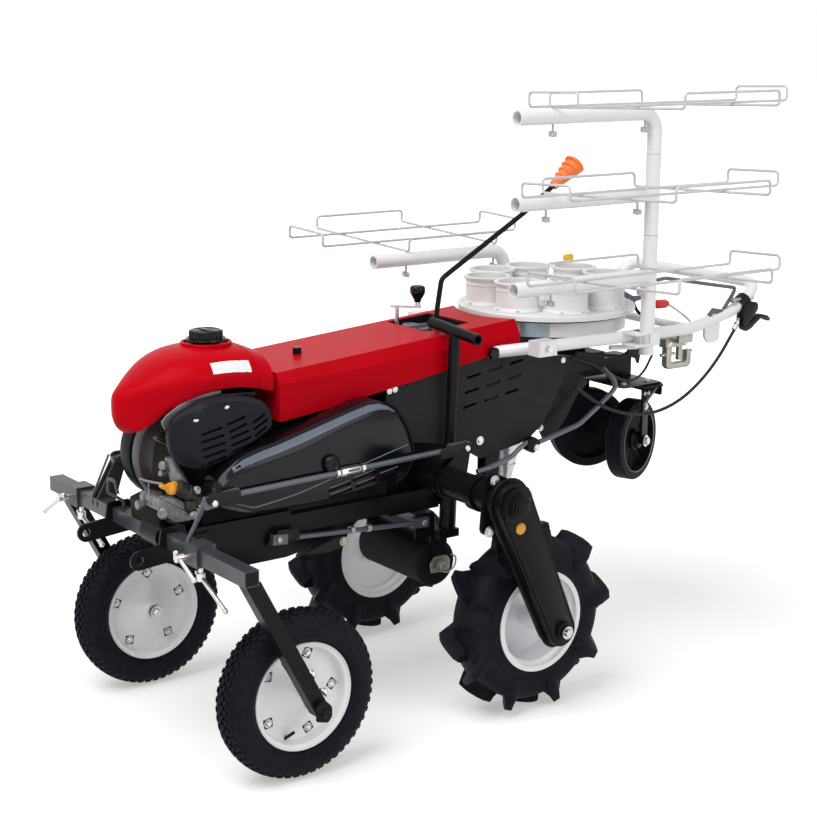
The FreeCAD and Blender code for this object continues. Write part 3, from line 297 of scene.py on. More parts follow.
def turned(name, profile, centre, axis="x", steps=48):
    # profile: (distance along the axis, radius) round a closed outline, or between two points on the axis
    along = Vector([float(axis == a) for a in "xyz"] if isinstance(axis, str) else axis).normalized()
    side = along.orthogonal().normalized()
    spots = [centre + along * (p[0] * 0.001) + side * (p[1] * 0.001) for p in profile]
    startRing(spots)
    if profile[0][1] == 0 and profile[-1][1] == 0:
        middle = (spots[0] + spots[-1]) / 2
        pick(lambda c, d: (c - middle).length < 1e-6, "EDGE")
        bpy.ops.mesh.delete(type="EDGE")
    bpy.ops.mesh.select_all(action="SELECT")
    bpy.ops.mesh.spin(steps=steps, angle=math.tau, center=centre, axis=along)
    tidyMesh()
    return leaveEdit(name)


def spinCopies(piece, count, centre, axis):
    reopen(piece)
    bpy.ops.mesh.select_all(action="SELECT")
    bpy.ops.mesh.spin(steps=count - 1, dupli=True, angle=math.tau * (count - 1) / count, center=centre, axis=axis)
    return leaveEdit(piece.name)


def pipe(name, points, radius, bend=0.0, closed=False, smooth=3):
    spots = [at(*p) for p in points]
    startRing(spots if closed else spots + [spots[-1] + Vector((0, 0, 0.5))])
    if not closed:
        spare = spots[-1] + Vector((0, 0, 0.5))
        pick(lambda c, n: (c - spare).length < 1e-6, "VERT")
        bpy.ops.mesh.delete(type="VERT")
    if bend and len(points) > 2:
        ends = () if closed else (spots[0], spots[-1])
        pick(lambda c, n: all((c - e).length > 1e-6 for e in ends), "VERT")
        bpy.ops.mesh.bevel(affect="VERTICES", offset=bend * 0.001, segments=6)
    made = leaveEdit(name)
    bpy.ops.object.convert(target="CURVE")
    made = bpy.context.object
    made.data.bevel_depth = radius * 0.001
    made.data.bevel_resolution = smooth
    made.data.use_fill_caps = True
    bpy.ops.object.convert(target="MESH")
    reopen(bpy.context.object)
    tidyMesh()
    return leaveEdit(name)


def joined(name, *pieces):
    clearPick()
    for piece in pieces:
        piece.select_set(True)
    bpy.context.view_layer.objects.active = pieces[0]
    bpy.ops.object.join()
    bpy.context.object.name = name
    return bpy.context.object


def hollowed(piece, *tools):
    for tool in tools:
        applied(piece, "BOOLEAN", object=tool, operation="DIFFERENCE", solver="EXACT")
        bpy.data.objects.remove(tool)
    return piece


def bolt(name, place, axis, across=13.0, height=8.0, washer=True):
    along = Vector(axis).normalized()
    head = turned(name, [(0, 0), (0, across * 0.58), (height * 0.8, across * 0.58), (height, across * 0.45),
                         (height, 0)], place, along, steps=6)
    if washer:
        ring = turned(name + "Washer", [(-0.5, across * 0.3), (-0.5, across * 0.85), (1.6, across * 0.85),
                                        (1.6, across * 0.3)], place, along, steps=20)
        head = joined(name, head, ring)
    return head


# the colour slot each finish would take where a piece names no other; each table is built here and then dropped
for slotName, finishNames in (
    ("frame_paint", "frameBlack plateBlack steelBlue"),
    ("zinc_steel", "zincSteel dullZinc labelPlate shieldShade"),
    ("cast_metal", "castAlloy engineDark carbBrown"),
    ("shroud_plastic", "knobBlack shroudPlastic fanRingPaint"),
    ("tyre_rubber", "tyreRubber rollerFoam cableSheath"),
    ("white_paint", "whiteEnamel wheelWhite cupWhite"),
    ("red_paint", "crimsonPaint"),
    ("gloss_cover", "coverBlack"),
    ("grip_orange", "gripOrange plugYellow gateYellow redGrip"),
):
    dict.fromkeys(finishNames.split(), slotName)


def place(piece, node, coating, *nodes, slotName=None, angle=35):
    # coats the piece, smooths it, and lets it ride where the node rides
    clearPick()
    piece.select_set(True)
    bpy.context.view_layer.objects.active = piece
    bpy.ops.object.transform_apply(location=True, rotation=True, scale=True)
    bpy.ops.object.shade_smooth_by_angle(angle=math.radians(angle))
    piece.data.materials.clear()
    piece.data.materials.append(coating)
    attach(piece, frame["nodes"][node]["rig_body"])
    if nodes:
        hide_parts(*nodes)
    return piece


print("ways of working ready")

# clutch cable, the one free cord

cableSet = dict(thickness=8.0, droop="hanging", reach=0.576)
cableRoute = [(236, 1349.5, 811.5), (236, 1316, 770), (230, 1280, 714), (219, 1238, 662), (207, 1184, 618),
              (192, 1124, 592), (178, 1062, 588), (165, 1000, 603), (151, 946, 632), (138, 900, 670)]
cableLine = bpy.data.curves.new("clutchCable", "CURVE")
cableLine.dimensions = "3D"
cableLine.bevel_depth = cableSet["thickness"] * 0.0005
cableLine.bevel_resolution = 4
cableLine.resolution_u = 8
cableLine.use_fill_caps = True
cableSpline = cableLine.splines.new("NURBS")
cableSpline.points.add(len(cableRoute) - 1)
for spot, routeSpot in zip(cableSpline.points, cableRoute):
    spot.co = (*at(*routeSpot), 1)
cableSpline.order_u = 3
cableSpline.use_endpoint_u = True
clutchCable = bpy.data.objects.new("clutchCable", cableLine)
bpy.context.scene.collection.objects.link(clutchCable)
cableLine.materials.append(cableSheath)
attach(clutchCable, frame["nodes"]["clutch_cable"]["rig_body"])
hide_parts("clutch_cable")
print("cable laid")

# front wheels

frontWheelSet = dict(pitches=54, blockRise=4.2, windows=5, boltCircle=84)


def radialSpot(hub, x, angle, r):
    return hub + Vector((x, r * math.sin(angle), r * math.cos(angle))) * 0.001


def block(name, hub, foot, top):
    # four corners each: (x, angle, radius)
    return lofted(name, [[radialSpot(hub, *spot) for spot in face] for face in (foot, top)])


def treadRow(name, hub, spots, lengths, count):
    # spots: (x, inner radius, outer radius) across one block from side to side
    (xa, low, topA), (xb, lowB, topB) = spots
    startAngle, reach = lengths
    foot = [(xa, startAngle, low), (xb, startAngle, lowB), (xb, startAngle + reach, lowB),
            (xa, startAngle + reach, low)]
    crown = [(xa + 0.8, startAngle + 0.006, topA), (xb - 0.8, startAngle + 0.006, topB),
             (xb - 0.8, startAngle + reach - 0.006, topB), (xa + 0.8, startAngle + reach - 0.006, topA)]
    made = block(name, hub, foot, crown)
    softened(made, 0.7, 1)
    return spinCopies(made, count, hub, (1, 0, 0))


def frontTyre(name, node):
    lo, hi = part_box(node)
    hub = (lo + hi) / 2
    half = [(0, 173.6), (9, 173.4), (19, 172), (27, 169), (33, 164.5), (37.5, 158), (40.2, 150), (40.8, 143),
            (40.4, 136), (41.0, 134.5), (40.9, 132.5), (39.4, 131), (38.4, 127), (38.8, 125.6), (37.9, 124),
            (35.6, 121.5), (32.8, 119.2), (30.5, 116.6), (27.4, 115.4), (27.4, 110.4)]
    outline = half + [(-x, r) for x, r in reversed(half)][:-1]
    parts = [turned(name, outline, hub, "x", 96)]
    pitch = math.tau / frontWheelSet["pitches"]
    rise = frontWheelSet["blockRise"]
    rows = [
        ((-7.5, 171, 173.6 + rise), (-0.6, 171, 173.9 + rise), 0.0, 0.74),
        ((0.6, 171, 173.9 + rise), (7.5, 171, 173.6 + rise), 0.5, 0.74),
        ((9.6, 170, 173.4 + rise), (18.6, 168, 171.8 + rise), 0.2, 0.66),
        ((-18.6, 168, 171.8 + rise), (-9.6, 170, 173.4 + rise), 0.7, 0.66),
        ((21.0, 167, 170.9 + rise), (29.5, 162, 167.2 + rise), 0.55, 0.60),
        ((-29.5, 162, 167.2 + rise), (-21.0, 167, 170.9 + rise), 0.05, 0.60),
        ((30.6, 161, 166.5 + rise * 0.6), (39.2, 150, 157.6), 0.55, 0.42),
        ((-39.2, 150, 157.6), (-30.6, 161, 166.5 + rise * 0.6), 0.05, 0.42),
    ]
    for number, (a, b, begin, share) in enumerate(rows):
        parts.append(treadRow(name + "Row%d" % number, hub, (a, b), (begin * pitch, share * pitch),
                              frontWheelSet["pitches"]))
    whole = joined(name, *parts)
    return place(whole, node, tyreRubber, node, angle=30)


def frontRim(name, node, side, begin, valveAngle):
    lo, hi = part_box(node.replace("rim", "tyre"))
    hub = (lo + hi) / 2
    s = side
    face = [(31.5, 114.6), (32.6, 113.2), (31.4, 111.6), (28.6, 110.2), (27.4, 107), (26, 103.6), (22, 102.4),
            (9, 101.6), (4.8, 99), (3.4, 95.4), (3.2, 92.6), (3.4, 76), (5.5, 69), (9.5, 57), (14, 43), (19, 31),
            (24, 24), (27, 20.2), (30, 18.4)]
    reachOut, reachIn = 52, 34
    outline = face + [(reachOut, 17.6), (reachOut, 9.9), (-reachIn, 9.9), (-reachIn, 17.6)]
    outline += [(-x, r) for x, r in reversed(face)]
    outline += [(-28.4, 114.4), (-26.4, 110.0), (-23, 106.6), (0, 104.6), (23, 106.6), (26.4, 110.0), (28.4, 114.4)]
    out = [(s * x, r) for x, r in outline]
    rimBody = turned(name, out, hub, "x", 96)
    tools = []
    for number in range(frontWheelSet["windows"]):
        angle = begin + math.tau * number / frontWheelSet["windows"]
        bpy.ops.object.select_all(action="DESELECT")
        start = radialSpot(hub, 0, angle, frontWheelSet["boltCircle"] + 1)
        window = turned(name + "Window", [(-20, 0), (-20, 15), (20, 15), (20, 0)], start, "x", 4)
        reopen(window)
        bpy.ops.mesh.select_all(action="SELECT")
        turnBy = math.pi / 4
        bpy.ops.transform.rotate(value=turnBy - angle, orient_axis="X", center_override=start)
        tools.append(leaveEdit(name + "Window"))
    hollowed(rimBody, *tools)
    softened(rimBody, 0.5, 1, 50)
    place(rimBody, node, wheelWhite, node, angle=30)
    bolts, paintedWindowShades = [], []
    for number in range(frontWheelSet["windows"]):
        angle = begin + math.tau * number / frontWheelSet["windows"]
        for way in (1, -1):
            seat = radialSpot(hub, way * 1.6, angle, frontWheelSet["boltCircle"] + 1)
            bolts.append(bolt(name + "Bolt", seat, (way, 0, 0), 10.5, 7.5))
        # dark plates behind each window: painted shade for the shaded inside of the wheel seen through it
        spots = [radialSpot(hub, -1.4, angle + u * 12 / frontWheelSet["boltCircle"],
                            frontWheelSet["boltCircle"] + 1 + v * 12)
                 for u, v in ((-1, -1), (1, -1), (1, 1), (-1, 1))]
        paintedWindowShades.append(lofted(name + "Back", [spots, [spot + Vector((0.0028, 0, 0)) for spot in spots]]))
    place(softened(joined(name + "PaintedShadeBacks", *paintedWindowShades), 0.6, 1), node, engineDark, slotName="frame_paint")
    place(joined(name + "Bolts", *bolts), node, zincSteel)
    root, tipSpot = radialSpot(hub, s * 2, valveAngle, 98), radialSpot(hub, s * 27, valveAngle, 76)
    stem = pipe(name + "Valve", [mm(root), mm(tipSpot)], 3.4)
    place(stem, node, knobBlack, slotName="tyre_rubber")
    return rimBody


def mm(spot):
    return (spot.x * 1000, (spot.y - axleBack) * 1000, spot.z * 1000)


frontTyre("frontTyreLeft", "front_tyre_left")
frontTyre("frontTyreRight", "front_tyre_right")
frontRim("frontRimLeft", "front_rim_left", 1, 0.31, -2.84)
frontRim("frontRimRight", "front_rim_right", -1, 0.0, 2.62)
for side, name in ((1, "Left"), (-1, "Right")):
    lo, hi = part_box("front_tyre_" + name.lower())
    hub = (lo + hi) / 2
    nut = bolt("hubNut" + name, hub + Vector((-side * 0.042, 0, 0)), (-side, 0, 0), 17, 11)
    place(nut, "front_leg_" + name.lower(), zincSteel)
print("front wheels made")

# drive wheels

driveWheelSet = dict(paddles=9, tallest=212.8)


def paddle(name, hub, hand, turn):
    # stations along the bar: x, base radius, lean of the bar outward, height, angle, half top, half foot
    stations = [
        (-12, 183, 0.0, 26.0, -0.120, 6.5, 15), (2, 183.5, 0.0, 29.0, -0.084, 8.4, 20),
        (17, 183, 0.02, 29.6, -0.030, 9.4, 23), (31, 181, 0.12, 31.2, 0.03, 10.2, 25),
        (40, 177, 0.22, 33.0, 0.072, 10.6, 26), (41.5, 171, 0.62, 17.0, 0.092, 11.5, 25),
        (42.5, 160, 0.97, 8.6, 0.098, 12.0, 22), (42.0, 147, 1.0, 6.4, 0.100, 10.0, 16),
        (41.0, 139, 1.0, 1.5, 0.100, 7.0, 10),
    ]

    def ring(x, r, lean, rise, angle, top, foot):
        up = Vector((lean, math.sqrt(max(0.0, 1 - lean * lean))))
        shape = [(-foot, 0), (-(foot + top) * 0.42, rise * 0.45), (-top, rise * 0.9), (-top + 1.6, rise),
                 (top - 1.6, rise), (top, rise * 0.9), ((foot + top) * 0.42, rise * 0.45), (foot, 0)]
        spots = []
        for across, height in shape:
            radius = r + up.y * height
            spots.append(radialSpot(hub, hand * (x + up.x * height), turn + angle + across / radius,
                                    min(radius, driveWheelSet["tallest"])))
        return spots

    return lofted(name, [ring(*station) for station in stations])


def driveTyre(name, node):
    lo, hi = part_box(node)
    hub = (lo + hi) / 2
    half = [(0, 186.5), (16, 186), (29, 183.5), (37, 178.5), (42, 171), (44, 162), (44.2, 150), (43, 139),
            (42.6, 137.6), (42.8, 136), (41.6, 134.4), (41.4, 129), (42.0, 127.6), (42.2, 125.6), (43.5, 121),
            (47.6, 116.8), (48.2, 114.4), (48.2, 110.6)]
    outline = half + [(-x, r) for x, r in reversed(half)][:-1]
    parts = [turned(name, outline, hub, "x", 96)]
    for hand, begin in ((1, 0.0), (-1, math.pi)):
        paddleBar = paddle(name + "Paddle", hub, hand, begin)
        parts.append(spinCopies(paddleBar, driveWheelSet["paddles"], hub, (1, 0, 0)))
    whole = joined(name, *parts)
    return place(whole, node, tyreRubber, node, angle=32)


driveTyre("driveTyreLeft", "drive_tyre_left")
driveTyre("driveTyreRight", "drive_tyre_right")
print("drive wheels made")

# belt cover

beltSet = dict(knobPlace=(171, 606), slotRadius=3.4, crease=1.8, edging=4.2, lip=1.5)
beltPairs = [
    (-104, 577, -92, 582), (-89, 610, -84, 600), (-60, 632, -58, 611), (-33, 647, -30, 619), (10, 659, 12, 627),
    (55, 668, 56, 635), (100, 680, 98, 644), (146, 691, 142, 656), (195, 703, 190, 670), (240, 714, 232, 681),
    (278, 722, 268, 689), (305, 720, 298, 694), (326, 711, 320, 694), (343, 699, 338, 688), (356, 685, 350, 676),
    (373, 662, 362, 656), (386, 636, 372, 632), (395, 603, 380, 604), (394, 573, 377, 579), (380, 550, 363, 561),
    (352, 538, 339, 548), (300, 530, 292, 541), (211, 523, 208, 533), (136, 520, 136, 529), (45, 520, 46, 530),
    (-17, 523, -12, 533), (-55, 535, -47, 543), (-90, 553, -77, 560),
]


def mixedLoop(pairs, share, grow=1.0, cuts=3):
    loop = softLoop([(a + (c - a) * share, b + (d - b) * share) for a, b, c, d in pairs], cuts)
    middle = sum(loop, Vector((0, 0))) / len(loop)
    return [middle + (p - middle) * grow for p in loop]


def shellRings(pairs, levels):
    # levels: (x, share from rim to face, size)
    return [[at(x, p.x, p.y) for p in mixedLoop(pairs, share, grow)] for x, share, grow in levels]


def slotTool(name, ya, za, yb, zb, radius, startLevel, endLevel):
    run = Vector((yb - ya, zb - za)).normalized()
    side = Vector((-run.y, run.x)) * radius
    loop = []
    for middle, way in ((Vector((yb, zb)), run), (Vector((ya, za)), -run)):
        for step in range(7):
            turn = math.pi / 2 - math.pi * step / 6
            loop.append(middle + way * math.cos(turn) * radius
                        + Vector((-way.y, way.x)) * math.sin(turn) * radius)
    return lofted(name, [[at(x, p.x, p.y) for p in loop] for x in (startLevel, endLevel)])


beltCover = lofted("beltCover", shellRings(beltPairs, [
    (125.5, 0, 0.985), (130, 0, 1.0), (168.5, 0, 1.0), (172.5, 0.015, 1.0), (175.6, 0.09, 1.0), (180.5, 0.38, 1.0),
    (185.5, 0.7, 1.0), (188.8, 0.93, 1.0), (190.2, 0.99, 0.998), (190.8, 1.0, 0.985)]))
louvreLines = [(169, 547, 220, 555), (171, 533, 223, 541), (230, 560, 285, 570), (237, 545, 285, 553),
               (294, 577, 344, 582), (297, 559, 346, 567)]
hollowed(beltCover, *[slotTool("louvre", *line, beltSet["slotRadius"], 184, 196) for line in louvreLines])
place(beltCover, "belt_cover", coverBlack, "belt_cover", angle=28)

# a paler blue-grey band along the cover's upper shoulder: a painted highlight, the reflection on the black cover
# painted in
highlightBandRings = []
for a, b, c, d in beltPairs[2:15]:
    spots = [(a + (c - a) * share, b + (d - b) * share) for share in (0.22, 0.66)]
    highlightBandRings.append([at(x, *spots[k]) for k, x in ((0, 176), (0, 178.6), (1, 185.6), (1, 183))])
place(softened(lofted("beltHighlightBand", highlightBandRings), 0.5, 1), "belt_cover", finish("paintedHighlightBlue", (0.10, 0.12, 0.16),
          rough=0.25, specular=0.4, patch=20, grain=600, bump=0.04), angle=50, slotName="gloss_cover")

# raised lips over the louvre slots, coloured paler than the cover: a painted highlight along each lip
hoods = [pipe("louvreHood", [(190.6, ya + 1, za + 5.6), (191.6, (ya + yb) / 2, (za + zb) / 2 + 5.8),
                             (190.6, yb - 1, zb + 5.6)], beltSet["lip"], 8) for ya, za, yb, zb in louvreLines]
place(joined("beltLouvreHighlights", *hoods), "belt_cover", steelBlue, slotName="gloss_cover")

# a thin bead along the cover's crease, coloured paler than the cover: a painted highlight on the crease
seam = [(-60, 556), (-17, 540), (40, 546), (90, 553), (137, 563), (183, 574), (226, 584), (268, 594),
        (325, 607), (372, 617)]
creaseHighlight = pipe("beltCreaseHighlight", [(190, y, z) for y, z in seam], beltSet["crease"], 8)
place(creaseHighlight, "belt_cover", steelBlue, slotName="gloss_cover")

edging = [(172, 326, 713), (172, 345, 702), (172, 360, 686), (172, 377, 662), (172, 390, 636), (172, 399, 603),
          (172, 397, 571), (172, 382, 547), (172, 352, 534)]
place(pipe("beltEdging", edging, beltSet["edging"], 9), "belt_cover", tyreRubber)

knobY, knobZ = beltSet["knobPlace"]
knob = turned("beltKnob", [(-2, 0), (-2, 20), (9, 19), (12, 17), (13, 14), (10.4, 12.4), (9.8, 7), (11.4, 5),
                           (11.8, 0)], at(190, knobY, knobZ), "x", 36)
place(knob, "belt_cover", knobBlack)
place(bolt("beltScrew", at(176, -93, 586), (1, 0, 0), 9, 5), "belt_cover", zincSteel)
print("belt cover made")

# muffler cover

mufflerSet = dict(slotRadius=2.9, slotStart=143, slotEnd=158)
mufflerPairs = [
    (-172, 664, -131, 668), (-177, 690, -132, 688), (-175, 713, -130, 712), (-160, 738, -125, 734),
    (-130, 752, -110, 750), (-92, 767, -88, 760), (-37, 766, -37, 758), (14, 757, 10, 748), (50, 739, 44, 730),
    (59, 708, 53, 705), (53, 684, 47, 689), (10, 658, 8, 667), (-39, 639, -39, 646), (-92, 623, -92, 632),
    (-124, 626, -115, 639), (-151, 640, -126, 652),
]
mufflerCover = lofted("mufflerCover", shellRings(mufflerPairs, [
    (119, 0, 0.985), (123, 0, 1.0), (133, 0.03, 1.0), (137, 0.12, 1.0), (141.5, 0.38, 1.0), (145.5, 0.66, 1.0),
    (148.8, 0.86, 1.0), (151, 0.97, 1.0), (152, 1.0, 0.985), (152.3, 1.0, 0.955)]))
slotLines = [(-111, 699, -67, 707), (-112, 683, -63, 691), (-111, 667, -60, 675), (-107, 651, -60, 659),
             (-99, 637, -60, 645), (-52, 712, -13, 722), (-46, 696, -9, 707), (-44, 682, -5, 692),
             (-42, 667, 0, 678), (-41, 653, -1, 663), (9, 708, 34, 721), (11, 694, 40, 709), (14, 680, 38, 694)]
hollowed(mufflerCover, *[slotTool("slot", *line, *mufflerSet.values()) for line in slotLines])
place(mufflerCover, "muffler_cover", shroudPlastic, "muffler_cover", angle=32)
screws = []
for y, z, x in ((-123, 731, 146), (-53, 749, 147)):
    screws.append(turned("mufflerScrew", [(-1, 0), (-1, 8), (1, 8.2), (2.4, 7.6), (4, 5.6), (5, 3), (5.2, 0)],
                         at(x, y, z), (0.55, -0.15, 0.83), 20))
place(joined("mufflerScrews", *screws), "muffler_cover", zincSteel)
print("muffler cover made")

# fan housing and starter

fanSet = dict(middle=(-30, 605), floor=494.8, ribs=18)
crank = at(0, *fanSet["middle"])


def levelCut(piece, height, keepAbove=True):
    reopen(piece)
    bpy.ops.mesh.select_all(action="SELECT")
    bpy.ops.mesh.bisect(plane_co=(0, 0, height * 0.001), plane_no=(0, 0, 1), use_fill=True,
                        clear_inner=keepAbove, clear_outer=not keepAbove)
    return leaveEdit(piece.name)


starter = turned("starterDrum", [(-156, 0), (-156, 34), (-155, 60), (-154.4, 90), (-153.4, 106),
                                 (-152, 110.6), (-149, 112.4), (-140, 112.8), (-112, 112.8), (-109, 111),
                                 (-108, 104), (-97, 104), (-97, 0)], crank, "x", 72)
place(levelCut(starter, fanSet["floor"]), "fan_housing", shroudPlastic, "fan_housing")
ring = turned("fanRing", [(-97, 106), (-96, 111.5), (-93, 113), (-70, 113.5), (-64, 112.5), (-62, 109), (-60, 98),
                          (-52, 90), (-34.4, 84), (-34.4, 60), (-97, 60)], crank, "x", 72)
fanRingPaint = finish("fanRingPaint", (0.055, 0.048, 0.047), rough=0.45, specular=0.3, patch=30, grain=900, bump=0.2)
place(levelCut(ring, fanSet["floor"]), "fan_housing", fanRingPaint)
rib = lofted("starterRib", [[crank + Vector((x, u, v)) * 0.001 for u, v in ((-2.2, 42), (2.2, 42), (2.6, 84),
                                 (-2.6, 84))] for x in (-152, -159.4)])
softened(rib, 0.8, 1)
ribs = spinCopies(rib, fanSet["ribs"], crank, (1, 0, 0))
place(ribs, "fan_housing", engineDark, slotName="shroud_plastic")
hub = turned("starterHub", [(-154, 0), (-154, 30), (-159, 30), (-160.5, 28), (-161, 22), (-159.6, 20), (-159.6, 0)],
             crank, "x", 40)
place(hub, "fan_housing", shroudPlastic)
handle = turned("starterHandle", [(-16, 0), (-16, 5.5), (-14, 7), (14, 7), (16, 5.5), (16, 0)], at(-128, -120, 678),
                (1, 0, 0), 24)
place(handle, "fan_housing", knobBlack)
guide = turned("starterGuide", [(-2, 0), (-2, 9), (4, 9), (8, 6), (8, 0)], at(-128, -108, 671), (0, -0.8, 0.5), 24)
place(guide, "fan_housing", knobBlack)
print("fan housing made")

# fuel tank

tankSet = dict(half=112.0, seam=45, seamDepth=0.014, cuts=3, plateFrom=-58, plateTo=36)
# distance back, share of the half width, side's lower edge, belly, crease, crown
tankStations = [
    (-229.6, 0.06, 729, 724, 741, 753), (-228.0, 0.12, 725, 709, 748, 763), (-222, 0.21, 716, 697, 754, 773),
    (-205, 0.35, 697, 685, 764, 786), (-180, 0.54, 706, 689, 777, 803), (-145, 0.75, 739, 715, 790, 826),
    (-100, 0.95, 763, 750, 799, 844), (-50, 0.998, 773, 765, 803, 852.4), (0, 1.0, 773, 767, 801, 852.6),
    (45, 1.0, 765, 762, 795, 848), (83.6, 1.0, 754, 752, 786, 834),
]


def between(rows, cuts):
    made = []
    for i in range(len(rows) - 1):
        a, b, c, d = rows[max(i - 1, 0)], rows[i], rows[i + 1], rows[min(i + 2, len(rows) - 1)]
        for step in range(cuts):
            t = step / cuts
            made.append([0.5 * (2 * q + (r - p) * t + (2 * p - 5 * q + 4 * r - s) * t ** 2
                                + (3 * q - p - 3 * r + s) * t ** 3) for p, q, r, s in zip(a, b, c, d)])
    return made + [list(rows[-1])]


def tankHalfRing(share, low, belly, crease, crown):
    w, rise, side = tankSet["half"] * share, crown - crease, crease - low
    return [(0, belly), (w * 0.5, belly + (low - belly) * 0.35), (w * 0.84, low - (low - belly) * 0.16),
            (w * 0.955, low + side * 0.01), (w * 0.99, low + side * 0.09), (w, low + side * 0.3),
            (w, low + side * 0.8), (w * 0.997, crease - side * 0.04), (w * 0.982, crease + rise * 0.07),
            (w * 0.95, crease + rise * 0.22), (w * 0.87, crease + rise * 0.47),
            (w * 0.74, crease + rise * 0.69), (w * 0.57, crease + rise * 0.85),
            (w * 0.38, crease + rise * 0.94), (w * 0.19, crease + rise * 0.985), (0, crown)]


def tankRing(row, size=1.0):
    half = tankHalfRing(*row[1:])
    middle = (row[3] + row[5]) / 2
    loop = half + [(-x, z) for x, z in reversed(half[1:-1])]
    return [at(x * size, row[0], middle + (z - middle) * size) for x, z in loop]


rows = between(tankStations, tankSet["cuts"])
rings = [tankRing(rows[0], 0.5)] + [tankRing(row) for row in rows]
rings[0] = [spot - Vector((0, 0.0008, 0)) for spot in rings[0]]
seamRow = next(row for row in rows if abs(row[0] - tankSet["seam"]) < 0.1)
seamAt = rows.index(seamRow) + 1
seamRings = []
for shift, size in ((0, 1.0), (0.5, 1 - tankSet["seamDepth"]), (2.5, 1 - tankSet["seamDepth"]), (3, 1.0)):
    seamRings.append([spot + Vector((0, shift * 0.001, 0)) for spot in tankRing(seamRow, size)])
rings = rings[:seamAt] + seamRings + rings[seamAt + 1:]
tankShell = lofted("tankShell", rings)
place(tankShell, "fuel_tank", crimsonPaint, "fuel_tank", angle=40)


def tankSurface(y, part):
    row = min(rows, key=lambda r: abs(r[0] - y))
    half = tankHalfRing(*row[1:])[7:]
    step = part * (len(half) - 1)
    i = min(int(step), len(half) - 2)
    return Vector(half[i]).lerp(Vector(half[i + 1]), step - i)


strips = []
for y in range(tankSet["plateFrom"], tankSet["plateTo"], 6):
    low, middle, high = (tankSurface(y, part) for part in (0.16, 0.28, 0.40))
    strips.append([at(low.x, y, low.y), at(low.x + 1.2, y, low.y), at(middle.x + 1.4, y, middle.y + 0.5),
                   at(high.x + 1.2, y, high.y + 1.0), at(high.x, y, high.y), at(middle.x, y, middle.y)])
place(lofted("tankPlate", strips), "fuel_tank", whiteEnamel, slotName="red_paint")
shieldShade = finish("shieldShade", (0.20, 0.19, 0.215), rough=0.34, metal=0.3, patch=12, grain=700, bump=0.1)
heatShield = plate("heatShield", [(-172, 722), (-160, 735), (-132, 751), (-100, 763), (-60, 770), (-34, 771),
                                  (-34, 760), (-90, 750), (-135, 727), (-165, 704)], "YZ", 92, 97, 1.2)
place(heatShield, "fuel_tank", shieldShade)
stripe = pipe("tankStrap", [(106, -160, 712), (106, -128, 738), (105, -96, 752), (104, -40, 762),
                            (104, 40, 757)], 4, 12)
place(stripe, "fuel_tank", knobBlack, slotName="tyre_rubber")
print("tank made")

# engine front, fuel cock and carburettor

engineSet = dict(cockPlace=(100, -155, 583), exhaustRadius=15)
engineBlock = plate("engineBlock", [(-33, 495), (112, 495), (112, 636), (94, 658), (-18, 658), (-33, 640)],
                    "XZ", -94, 82, 5)
cylinder = plate("cylinderHead", [(-33, 652), (80, 652), (80, 748), (64, 763), (-18, 763), (-33, 748)], "XZ",
                 -58, 60, 5)
crankBoss = turned("crankBoss", [(-33, 0), (-33, 58), (116, 58), (118, 55), (118, 0)], crank, "x", 48)
elbow = pipe("exhaustElbow", [(70, -40, 690), (100, -52, 694), (118, -92, 694)], engineSet["exhaustRadius"], 18)
blockRibs = [plate("blockRib", [(-97, 500), (-97, 636), (-92, 640), (-92, 500)], "YZ", x, x + 4, 1)
             for x in range(-24, 104, 16)]
place(joined("engineBlock", engineBlock, cylinder, crankBoss, elbow, *blockRibs), "engine", engineDark, "engine")

carbBrown = finish("carbBrown", (0.045, 0.040, 0.038), rough=0.45, metal=0.4, specular=0.4, patch=60,
                   grain=900, bump=0.4)
casting = plate("crankcaseCasting", [(-186, 540), (-187, 562), (-172, 566), (-150, 560), (-128, 549), (-112, 537),
                                     (-100, 522), (-100, 508), (-150, 508)], "YZ", 20, 98, 3.5, 8)
castRibs = [plate("castingRib", [(-189, 546), (-189, 563), (-172, 568), (-149, 562), (-126, 551), (-110, 539),
                                 (-98, 524), (-98, 516)], "YZ", x, x + 3.4, 1.2) for x in (38, 66, 88)]
place(joined("crankcaseCasting", casting, *castRibs), "engine", castAlloy)
lowBlock = plate("engineFoot", [(-180, 495), (-184, 540), (-150, 550), (-96, 540), (-96, 495)], "YZ", -33, 92, 3, 6)
place(lowBlock, "engine", engineDark)
shoulder = lofted("cylinderShoulder", [[at(x, p.x, p.y) for p in softLoop(
    [(-118 - lean, 560), (-124 - lean, 610), (-112 - lean, 655), (-84, 672), (-50, 660), (-46, 560)], 2)]
    for x, lean in ((-33, 0), (-30, 4), (30, 6), (66, 2), (86, -6))])
place(shoulder, "engine", engineDark)
fins = []
for step in range(7):
    z = 636 + step * 9
    fins.append(plate("coolingFin", [(-30, -112), (76, -112), (92, -96), (92, -40), (-30, -40)], "XY", z,
                      z + 3.2, 0.9, 5))
place(joined("coolingFins", *fins), "engine", engineDark)
neckPipe = lofted("inletNeck", [[at(x + r * math.cos(t), y + r * math.sin(t) * 0.9, z)
                                 for t in [math.tau * k / 20 for k in range(20)]]
                                for x, y, z, r in ((80, -146, 642, 12), (80, -142, 628, 14),
                                    (82, -136, 610, 17), (85, -130, 592, 19), (88, -124, 572, 19),
                                    (88, -118, 556, 17))])
softened(neckPipe, 2.5)
boss = turned("inletBoss", [(-8, 0), (-8, 10), (5, 10), (7, 8), (7, 0)], at(78, -160, 626), (0.2, -0.95, 0.1), 20)
inletStud = turned("inletStud", [(-10, 0), (-10, 6), (6, 6), (7, 5), (7, 0)], at(78, -164, 611), (0.3, -0.9, 0.1), 16)
place(joined("inletCasting", neckPipe, boss, inletStud), "engine", castAlloy)

